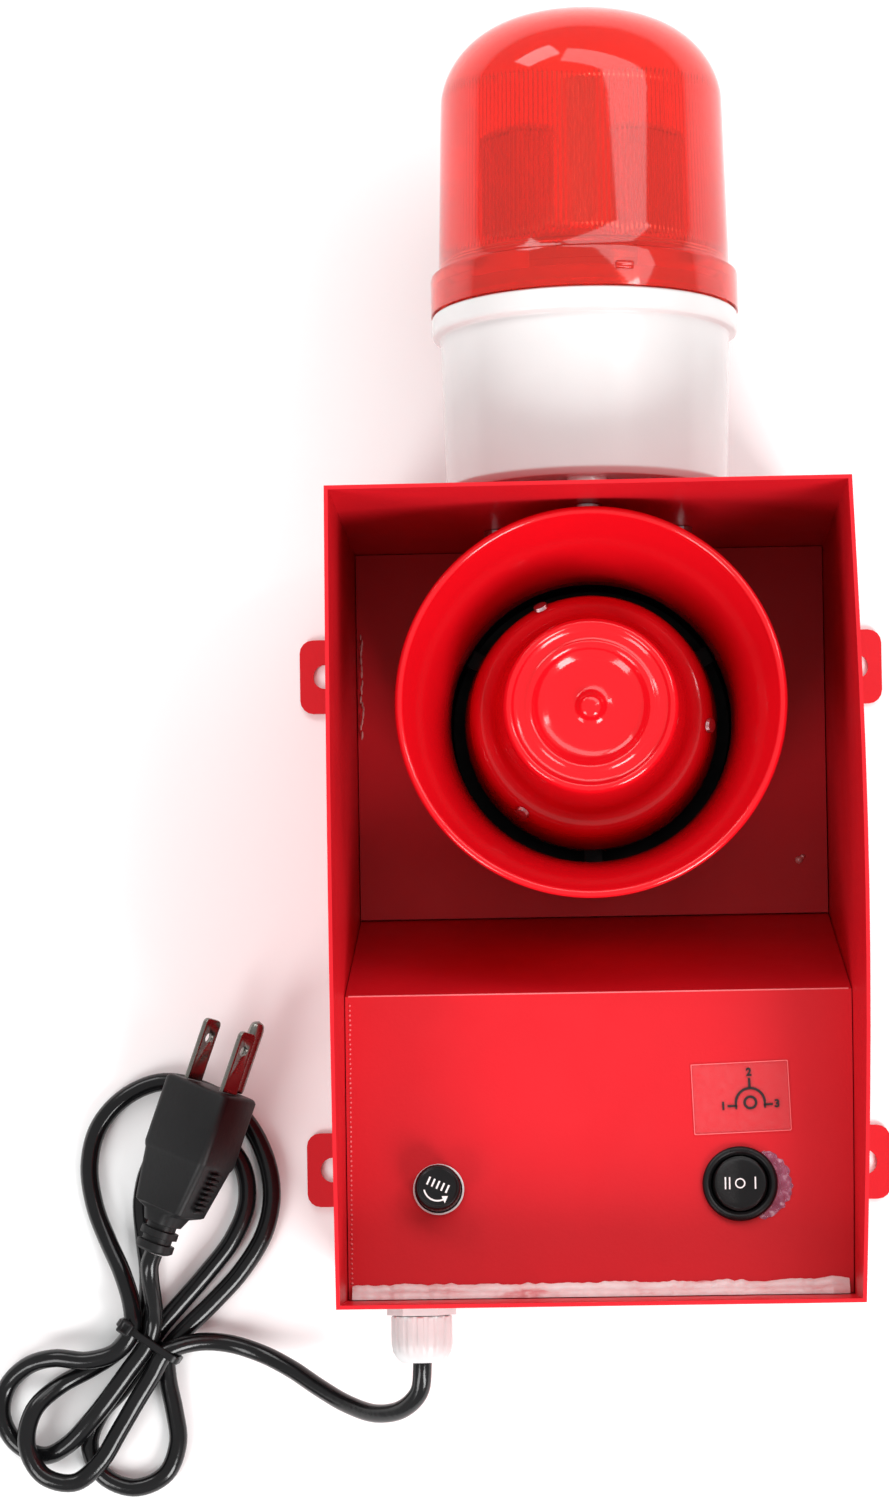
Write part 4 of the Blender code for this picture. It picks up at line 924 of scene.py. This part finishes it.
def make_switch(black, ink):
    place = panel_frame(SWITCH_AT)
    profile = [
        (0, -0.022), (0.0098, -0.022), (0.0098, GAP), (0.0117, GAP), (0.0117, 0.0014), (0.0113, 0.0021),
        (0.0106, 0.0024), (0.0098, 0.0022), (0.0094, 0.0016), (0.009, 0.0012), (0.009, -0.009),
        (0, -0.009),
    ]
    case = turned("switch_case", rounded(profile, 0.0002, 2), black, place, 96)
    settle(case, "black_plastic", "switch_body")
    for number, x in enumerate((-0.006, 0.0, 0.006)):
        low, high = (x - 0.0004, -0.0024, -0.029), (x + 0.0004, 0.0024, -0.0218)
        settle(block(f"switch_tab_{number}", low, high, METALS["nickel"], place, 0.0001), "nickel")
    for side in (-1, 1):
        start, end = side * 90 - 16, side * 90 + 16
        outline = arc(0, 0, 0.0108, start, end, 12) + arc(0, 0, 0.0101, end, start, 12)
        ridge = prism(f"switch_notch_{side}", outline, 0.0017, 0.0026, black, place, 0.00015)
        settle(ridge, "black_plastic")
    make_rocker(black, place)
    rocker_marks(place, ink)




def rocker_face(x):
    """The height of the rocker's concave face above the panel."""
    return VALLEY_LOW + VALLEY_RISE * (math.sqrt(x * x + VALLEY_ROUNDING ** 2) - VALLEY_ROUNDING)


def make_rocker(black, place):
    """A dished round rocker: rings of points whose tops follow the face and whose sides follow a ball."""
    around = 72
    shape_rings = []
    for share in (0.05, 0.2, 0.4, 0.6, 0.75, 0.88, 0.96, 1.0):
        rim = 0.0002 * max(0.0, (share - 0.9) / 0.1) ** 2
        shape_rings.append([(x, y, rocker_face(x) - rim) for x, y in circle(0.0079 * share, around)])
    side_top = []
    for x, y in circle(1.0, around):
        z = min(rocker_face(0.0082 * x) - 0.0005, 0.0026)
        radius = math.sqrt(ROCKER_RADIUS ** 2 - z * z)
        side_top.append((radius * x, radius * y, z))
    shape_rings.append(side_top)
    for latitude in (-0.05, -0.2, -0.35, -0.5):
        radius, z = ROCKER_RADIUS * math.cos(latitude), ROCKER_RADIUS * math.sin(latitude)
        shape_rings.append([(x, y, z) for x, y in circle(radius, around)])
    rocker = lofted("rocker", shape_rings, black, place, 50.0)
    settle(rocker, "black_plastic", "switch_rocker", body="rocker")


def rocker_marks(place, ink):
    """Position marks: two bars, a ring and one bar, as thin ink shapes that lie on the dished face."""

    def on_face(x, y, up):
        return (x, y, rocker_face(x) + INK_THICKNESS * up)

    half, inner, outer = 0.00022, 0.0012, 0.0016
    section = ((-half, 0), (half, 0), (half, 1), (-half, 1))
    for number, x in enumerate((-0.0046, -0.0033, 0.0047)):
        rows = [[on_face(x + dx, y, up) for dx, up in section] for y in (-0.0019, -0.0006, 0.0006, 0.0019)]
        settle(lofted(f"rocker_bar_{number}", rows, ink, place), "white_plastic", body="rocker")
    rings = []
    for radius, up in ((inner, 0), (outer, 0), (outer, 1), (inner, 1)):
        rings.append([on_face(x, y, up) for x, y in circle(radius, 40)])
    ring = lofted("rocker_ring", rings + rings[:1], ink, place, close=False)
    settle(ring, "white_plastic", body="rocker")


def make_fuse_holder(black, ink, pale):
    place = panel_frame(FUSE_AT)
    flange = [
        (0.0042, -0.027), (0.006, -0.03), (0.006, GAP), (0.0078, GAP), (0.0078, 0.0012),
        (0.007, 0.0018), (0.0042, 0.0018), (0.0042, -0.025),
    ]
    barrel = turned("fuse_barrel", rounded(flange, 0.0002, 2), black, place, 72)
    settle(barrel, "black_plastic", "fuse_holder_body")
    stem = [(0, -0.004), (0.0038, -0.004), (0.0038, 0.0021), (0.0071, 0.0021)]
    wall = [(0.0071, 0.0032), (0.0071, 0.006), (0.0071, 0.0088)]
    crown = [(0.0071, 0.0092), (0.0066, 0.0101), (0.0062, 0.0102), (0.0059, 0.0098), (0, 0.0098)]

    def grips(point):
        radius = math.hypot(point.x, point.y)
        if radius < 0.0069 or not 0.003 < point.z < 0.009:
            return point
        angle = math.atan2(point.y, point.x)
        return pushed_in(point, 0.00022 * (0.5 + 0.5 * math.cos(36 * angle)))

    profile = rounded(stem, 0.0002, 2) + wall + rounded(crown, 0.0002, 2)
    knob = turned("fuse_knob_cap", profile, black, place, 144, 40.0, grips)
    settle(knob, "black_plastic", "fuse_cap", body="fuse_knob")
    washer = [(0.0074, 0.0016), (0.008, 0.0016), (0.008, 0.0021), (0.0074, 0.0021), (0.0074, 0.0018)]
    washer = turned("fuse_washer", rounded(washer, 0.0001, 2), pale, place, 72)
    settle(washer, "white_plastic")
    turn = Matrix.Rotation(math.radians(-25), 4, "Z")
    fuse_marks(ink, place @ turn @ at(0, 0, 0.0098))


def fuse_marks(ink, top):
    """A turn arrow and a row of ticks on the cap."""
    sweep = arc(0, 0, 0.0045, 215, 320, 20) + arc(0, 0, 0.004, 320, 215, 20)
    shapes = {
        "fuse_arrow_arc": sweep,
        "fuse_arrow_head": [polar(0.0031, 318), polar(0.0055, 318), polar(0.00425, 343)],
    }
    half, low, high = 0.00028, -0.0006, 0.002
    for number, x in enumerate((-0.0034, -0.0018, -0.0002, 0.0014, 0.003)):
        shapes[f"fuse_tick_{number}"] = [(x - half, low), (x + half, low), (x + half, high), (x - half, high)]
    for name, outline in shapes.items():
        settle(prism(name, outline, 0, INK_THICKNESS, ink, top), "white_plastic", body="fuse_knob")


def make_dial_label(film, dark):
    """Clear film with a dial of three positions."""
    place = panel_frame(LABEL_AT) @ Matrix.Rotation(math.radians(2), 4, "Z")
    corners = [
        (-0.0152, -0.0108), (-0.0148, -0.0111), (0.0149, -0.0111), (0.0152, -0.0107), (0.0152, 0.0109),
        (0.0149, 0.0111), (-0.015, 0.0111), (-0.0152, 0.0109),
    ]
    sheet = prism("dial_film", corners, GAP, GAP + 0.00018, film, place)
    settle(sheet, "clear_film", "position_label")
    film_rim(corners, place)
    dial_marks(dark, place @ at(0.0028, -0.0006, GAP + 0.0002))


def film_rim(corners, place):
    """A fine pale line round the film's edge."""
    rim = [(x * 0.985, y * 0.98) for x, y in corners]
    shape = bmesh.new()
    outside = [shape.verts.new((x, y, GAP + 0.00019)) for x, y in corners]
    inside = [shape.verts.new((x, y, GAP + 0.00024)) for x, y in rim]
    for index in range(len(corners)):
        after = (index + 1) % len(corners)
        shape.faces.new((outside[index], outside[after], inside[after], inside[index]))
    grown = bmesh.ops.extrude_face_region(shape, geom=shape.faces[:])["geom"]
    lifted = [item for item in grown if isinstance(item, bmesh.types.BMVert)]
    bmesh.ops.translate(shape, vec=(0, 0, 0.00005), verts=lifted)
    settle(finish_mesh("dial_film_rim", shape, EDGE, place), "clear_film")


def dial_marks(dark, ink):
    """An arc with two ticks, a ring, three lines and the numbers 1 to 3."""
    thick = INK_THICKNESS / 2
    middle = -0.0011
    shapes = {
        "dial_arc": arc(0, middle, 0.0049, 0, 180, 28) + arc(0, middle, 0.0041, 180, 0, 28),
        "dial_line_left": [(-0.0072, -0.0023), (-0.0041, -0.0023), (-0.0041, -0.0016), (-0.0072, -0.0016)],
        "dial_line_right": [(0.0041, -0.0023), (0.007, -0.0023), (0.007, -0.0016), (0.0041, -0.0016)],
        "dial_top": [(-0.0004, 0.0036), (0.0004, 0.0036), (0.0004, 0.0066), (-0.0004, 0.0066)],
        "dial_tick_left": [(-0.0048, -0.003), (-0.0042, -0.003), (-0.0042, middle), (-0.0048, middle)],
        "dial_tick_right": [(0.0042, -0.003), (0.0048, -0.003), (0.0048, middle), (0.0042, middle)],
    }
    for name, outline in shapes.items():
        settle(prism(name, outline, 0, thick, dark, ink), "black_plastic")
    rings = []
    for radius, up in ((0.0014, 0), (0.0022, 0), (0.0022, thick), (0.0014, thick)):
        rings.append([(x, y, up) for x, y in arc(0, middle, radius, 0, 360 - 7.5, 47)])
    settle(lofted("dial_ring", rings + rings[:1], dark, ink, close=False), "black_plastic")
    for digit, x, y in (("1", -0.0085, -0.0019), ("2", 0.0, 0.0084), ("3", 0.0083, -0.0019)):
        text = bpy.data.curves.new(f"dial_digit_{digit}", "FONT")
        text.body = digit
        text.size = 0.0034
        text.offset = 0.00015
        text.extrude = thick / 2
        text.align_x, text.align_y = "CENTER", "CENTER"
        text.materials.append(dark)
        figure = bpy.data.objects.new(text.name, text)
        figure.matrix_world = ink @ at(x, y, thick / 2)
        bpy.context.scene.collection.objects.link(figure)
        settle(figure, "black_plastic")


# Gland


def make_gland(finish):
    """The gland's dome nut, fluted round its straight part."""
    place = at(GLAND_AT[0], BOX_BOTTOM, GLAND_AT[1]) @ ALONG_MINUS_Y
    nut = [
        (0.0079, 0.0059), (0.0096, 0.0059), (0.0099, 0.0063), (0.0099, 0.009), (0.0099, 0.012),
        (0.0099, 0.015), (0.0094, 0.0175), (0.0084, 0.0194), (0.0068, 0.0209), (0.005, 0.021),
        (0.0036, 0.0206), (0.0036, 0.0168), (0.0079, 0.0168), (0.0079, 0.01),
    ]

    def flutes(point):
        radius = math.hypot(point.x, point.y)
        if radius < 0.009 or not 0.0062 < point.z < 0.0156:
            return point
        angle = math.atan2(point.y, point.x)
        groove = max(0.0, math.cos(18 * angle)) ** 0.5
        return pushed_in(point, 0.00032 * groove)

    dome_nut = turned("dome_nut", nut, finish, place, 216, 30.0, flutes)
    settle(dome_nut, "white_nylon", "gland_dome_nut")


def make_sealant(finish):
    """A hand-laid bead along the bottom of the panel: uneven height, with a blob near its right end."""
    stations, around = 260, 9
    floor = PANEL_BOTTOM[0]
    rings = []
    for step in range(stations + 1):
        x = -0.0772 + 0.1544 * step / stations
        slow, fast = noise.noise(Vector((x * 90, 0, 3))), noise.noise(Vector((x * 420, 5, 0)))
        swell = 1.0 + 0.22 * slow + 0.12 * fast
        blob = 0.5 * max(0.0, 1 - abs(x - 0.072) / 0.006)
        reach, lift = 0.0047 * (swell + 0.5 * blob), 0.0046 * (swell + blob)
        near = PANEL_BOTTOM[1] + GAP
        ring = [(x, floor, near)]
        for number in range(around):
            angle = math.radians(90 - 90 * number / (around - 1))
            bulge = 0.62 + 0.1 * math.sin(2 * angle) + 0.3 * abs(math.cos(2 * angle))
            ring.append((x, floor + reach * math.cos(angle) * bulge, near + lift * math.sin(angle) * bulge))
        rings.append(ring)
    settle(lofted("silicone_bead", rings, finish, smooth=60.0), "sealant", "sealant_bead")


# Small marks on the box


def panel_beads(finish):
    """A row of fine weld beads up the panel's left edge, coloured pale pink: real beads with a painted
    highlight on them.
    """
    shape = bmesh.new()
    beads = 58
    for number in range(beads):
        y = -0.0315 - 0.087 * number / (beads - 1)
        place = panel_frame((-0.0774 + 0.0002 * noise.noise(Vector((y * 300, 0, 0))), y), 0.0001)
        size = 0.00036 + 0.00014 * noise.noise(Vector((y * 900, 2, 0)))
        bmesh.ops.create_icosphere(shape, subdivisions=2, radius=size, matrix=place)
    settle(finish_mesh("panel_edge_beads", shape, finish), "red_paint")


def crease_highlight(finish):
    """A painted highlight along the bend between ledge and panel: a thin pale line standing in for the light
    the crease catches.
    """
    line = []
    for step in range(41):
        x = -0.0778 + 0.157 * step / 40
        lift = 0.00006 * noise.noise(Vector((x * 200, 0, 0)))
        line.append((x, PANEL_TOP[0] + 0.0001, PANEL_TOP[1] - 0.00005 + lift))
    settle(tube("crease_highlight", line, 0.00026, finish, 2), "red_paint")


def weld_spots(finish):
    """Small glossy spatter in the left back corner and low on the right of the back."""
    shape = bmesh.new()
    for number in range(26):
        climb = number / 25
        x = -0.0772 + 0.0016 * abs(noise.noise(Vector((number * 3.1, 0, 0))))
        y = 0.062 + 0.033 * climb + 0.002 * noise.noise(Vector((number * 1.7, 4, 0)))
        z = 0.0112 + 0.01 * abs(noise.noise(Vector((number * 2.3, 8, 0))))
        size = 0.0005 + 0.0008 * abs(noise.noise(Vector((number * 5.3, 2, 0))))
        stretch = Matrix.Diagonal((0.5, 1.9, 1.0, 1.0))
        bmesh.ops.create_icosphere(shape, subdivisions=2, radius=size, matrix=at(x, y, z) @ stretch)
    for x, y, z, size in ((0.069, 0.018, 0.0102, 0.0013), (0.0702, 0.0192, 0.0102, 0.0008)):
        bmesh.ops.create_icosphere(shape, subdivisions=2, radius=size, matrix=at(x, y, z))
    settle(finish_mesh("weld_spatter", shape, finish), "red_paint")


def glue_smear(finish):
    """Dried glue on the panel beside the switch."""
    place = panel_frame(SWITCH_AT)
    shape = bmesh.new()
    steps, near = 60, 0.01185
    rows = []
    for up, edge in ((0.00008, 0.00008), (0.00034, 0.00034 * 0.6)):
        inner, outer = [], []
        for step in range(steps + 1):
            angle = math.radians(-62 + 118 * step / steps)
            taper = math.sin(math.pi * step / steps) ** 0.6
            wobble = 0.0013 * noise.noise(Vector((math.cos(angle) * 9, math.sin(angle) * 9, 4)))
            far = 0.0119 + taper * (0.0042 + wobble)
            height = up + 0.00015 * taper * (up > 0.0002)
            inner.append(shape.verts.new((near * math.cos(angle), near * math.sin(angle), height)))
            outer.append(shape.verts.new((far * math.cos(angle), far * math.sin(angle), edge)))
        rows.append((inner, outer))
    (low_in, low_out), (top_in, top_out) = rows
    for step in range(steps):
        shape.faces.new((top_in[step], top_in[step + 1], top_out[step + 1], top_out[step]))
        shape.faces.new((low_in[step], low_out[step], low_out[step + 1], low_in[step + 1]))
        shape.faces.new((low_in[step], low_in[step + 1], top_in[step + 1], top_in[step]))
        shape.faces.new((low_out[step], top_out[step], top_out[step + 1], low_out[step + 1]))
    shape.faces.new((low_in[0], top_in[0], top_out[0], low_out[0]))
    shape.faces.new((low_in[-1], low_out[-1], top_out[-1], top_in[-1]))
    settle(finish_mesh("glue_smear", shape, finish, place), "sealant")


# Assembly

RED, GLOSS, PALE = red_paint(), red_gloss(), pale_plastic()
BLACK, NYLON = black_plastic(), nylon()
METALS = {
    "nickel": metal("nickel", (0.23, 0.22, 0.2), (0.22, 0.34), 0.2),
    "zinc": metal("zinc_plate", (0.62, 0.63, 0.66), (0.22, 0.42)),
}
INK = white_ink()
DARK_INK = plain_detail("dark_ink", (0.012, 0.002, 0.003), 0.5, 900.0)
# Pale pink that paints highlights onto fine edges: the crease, the panel's beads and the film's rim.
EDGE = plain_detail("pale_edge_highlight", (0.8, 0.16, 0.17), 0.35, 900.0)
RUBBER = black_plastic("dark_rubber", (0.45, 0.7), 900.0, 0.25)
GREEN = board_green()


def finish_cad_nodes():
    for name in ("housing_shell", "back_plate", "control_panel", "hood_back"):
        keep(name, RED, 0.0003)
    for name in ("horn_tone_tube", "driver_can", "board_carrier", "fuse_holder_nut"):
        keep(name, BLACK, 0.0002)
    for name in ("cable_grommet", "gland_seal", "beacon_cable", "horn_cable"):
        keep(name, RUBBER)
    # The seal is coloured pale red as painted light: it brightens the lens skirt in front of it.
    keep("lens_seal", plain_detail("seal_painted_light", (0.82, 0.2, 0.18), 0.4, 300.0))
    for name in ("siren_board", "beacon_driver_board"):
        keep(name, GREEN)
    for name in ("led_tower", "led_top_board"):
        keep(name, PALE, 0.0004)
    for name in ("gland_body", "gland_locknut"):
        keep(name, NYLON, 0.0003)
    zinc_nodes = ["driver_magnet", "horn_bracket"]
    zinc_nodes += [f"back_plate_screw_{number}" for number in range(1, 5)]
    zinc_nodes += [f"{kind}_{number}" for kind in ("bracket_bolt", "bracket_screw") for number in (1, 2)]
    zinc_nodes += [f"{kind}_{number}" for kind in ("reflector_screw", "beacon_screw") for number in (1, 2, 3)]
    for name in zinc_nodes:
        keep(name, METALS["zinc"], 0.0002)
    keep("fuse_link", METALS["nickel"])
    keep("transformer", plain_detail("yellow_tape", (0.72, 0.5, 0.08), 0.4, 300.0))
    keep("capacitor", plain_detail("capacitor_sleeve", (0.02, 0.05, 0.18), 0.3, 500.0))
    keep("terminal_block", plain_detail("green_plastic", (0.03, 0.3, 0.1), 0.4, 500.0))
    keep("driver_diaphragm", plain_detail("brown_film", (0.35, 0.2, 0.1), 0.5, 400.0))


def main():
    place_camera()
    cord, length = make_cord(cord_jacket())
    plug = make_plug(black_plastic("plug_vinyl", (0.38, 0.55), 700.0, 0.2), METALS["nickel"])
    tie = make_tie(BLACK)
    finish_cad_nodes()
    make_lens(lens_red())
    make_beacon_base(PALE)
    horn_axis = at(0, HORN_Y, 0)
    make_bell(GLOSS, horn_axis)
    make_cap(GLOSS, horn_axis)
    make_reflector(GLOSS, RUBBER, horn_axis)
    make_throat_cup(RUBBER, horn_axis)
    make_switch(BLACK, INK)
    make_fuse_holder(BLACK, INK, PALE)
    make_dial_label(clear_film(), DARK_INK)
    make_gland(NYLON)
    make_sealant(silicone())
    panel_beads(EDGE)
    crease_highlight(EDGE)
    weld_spots(plain_detail("spatter", (0.8, 0.42, 0.4), 0.2, 500.0, 0.3))
    glue_smear(dried_glue())
    lay_floor()
    light_scene()


main()
bpy.context.view_layer.update()
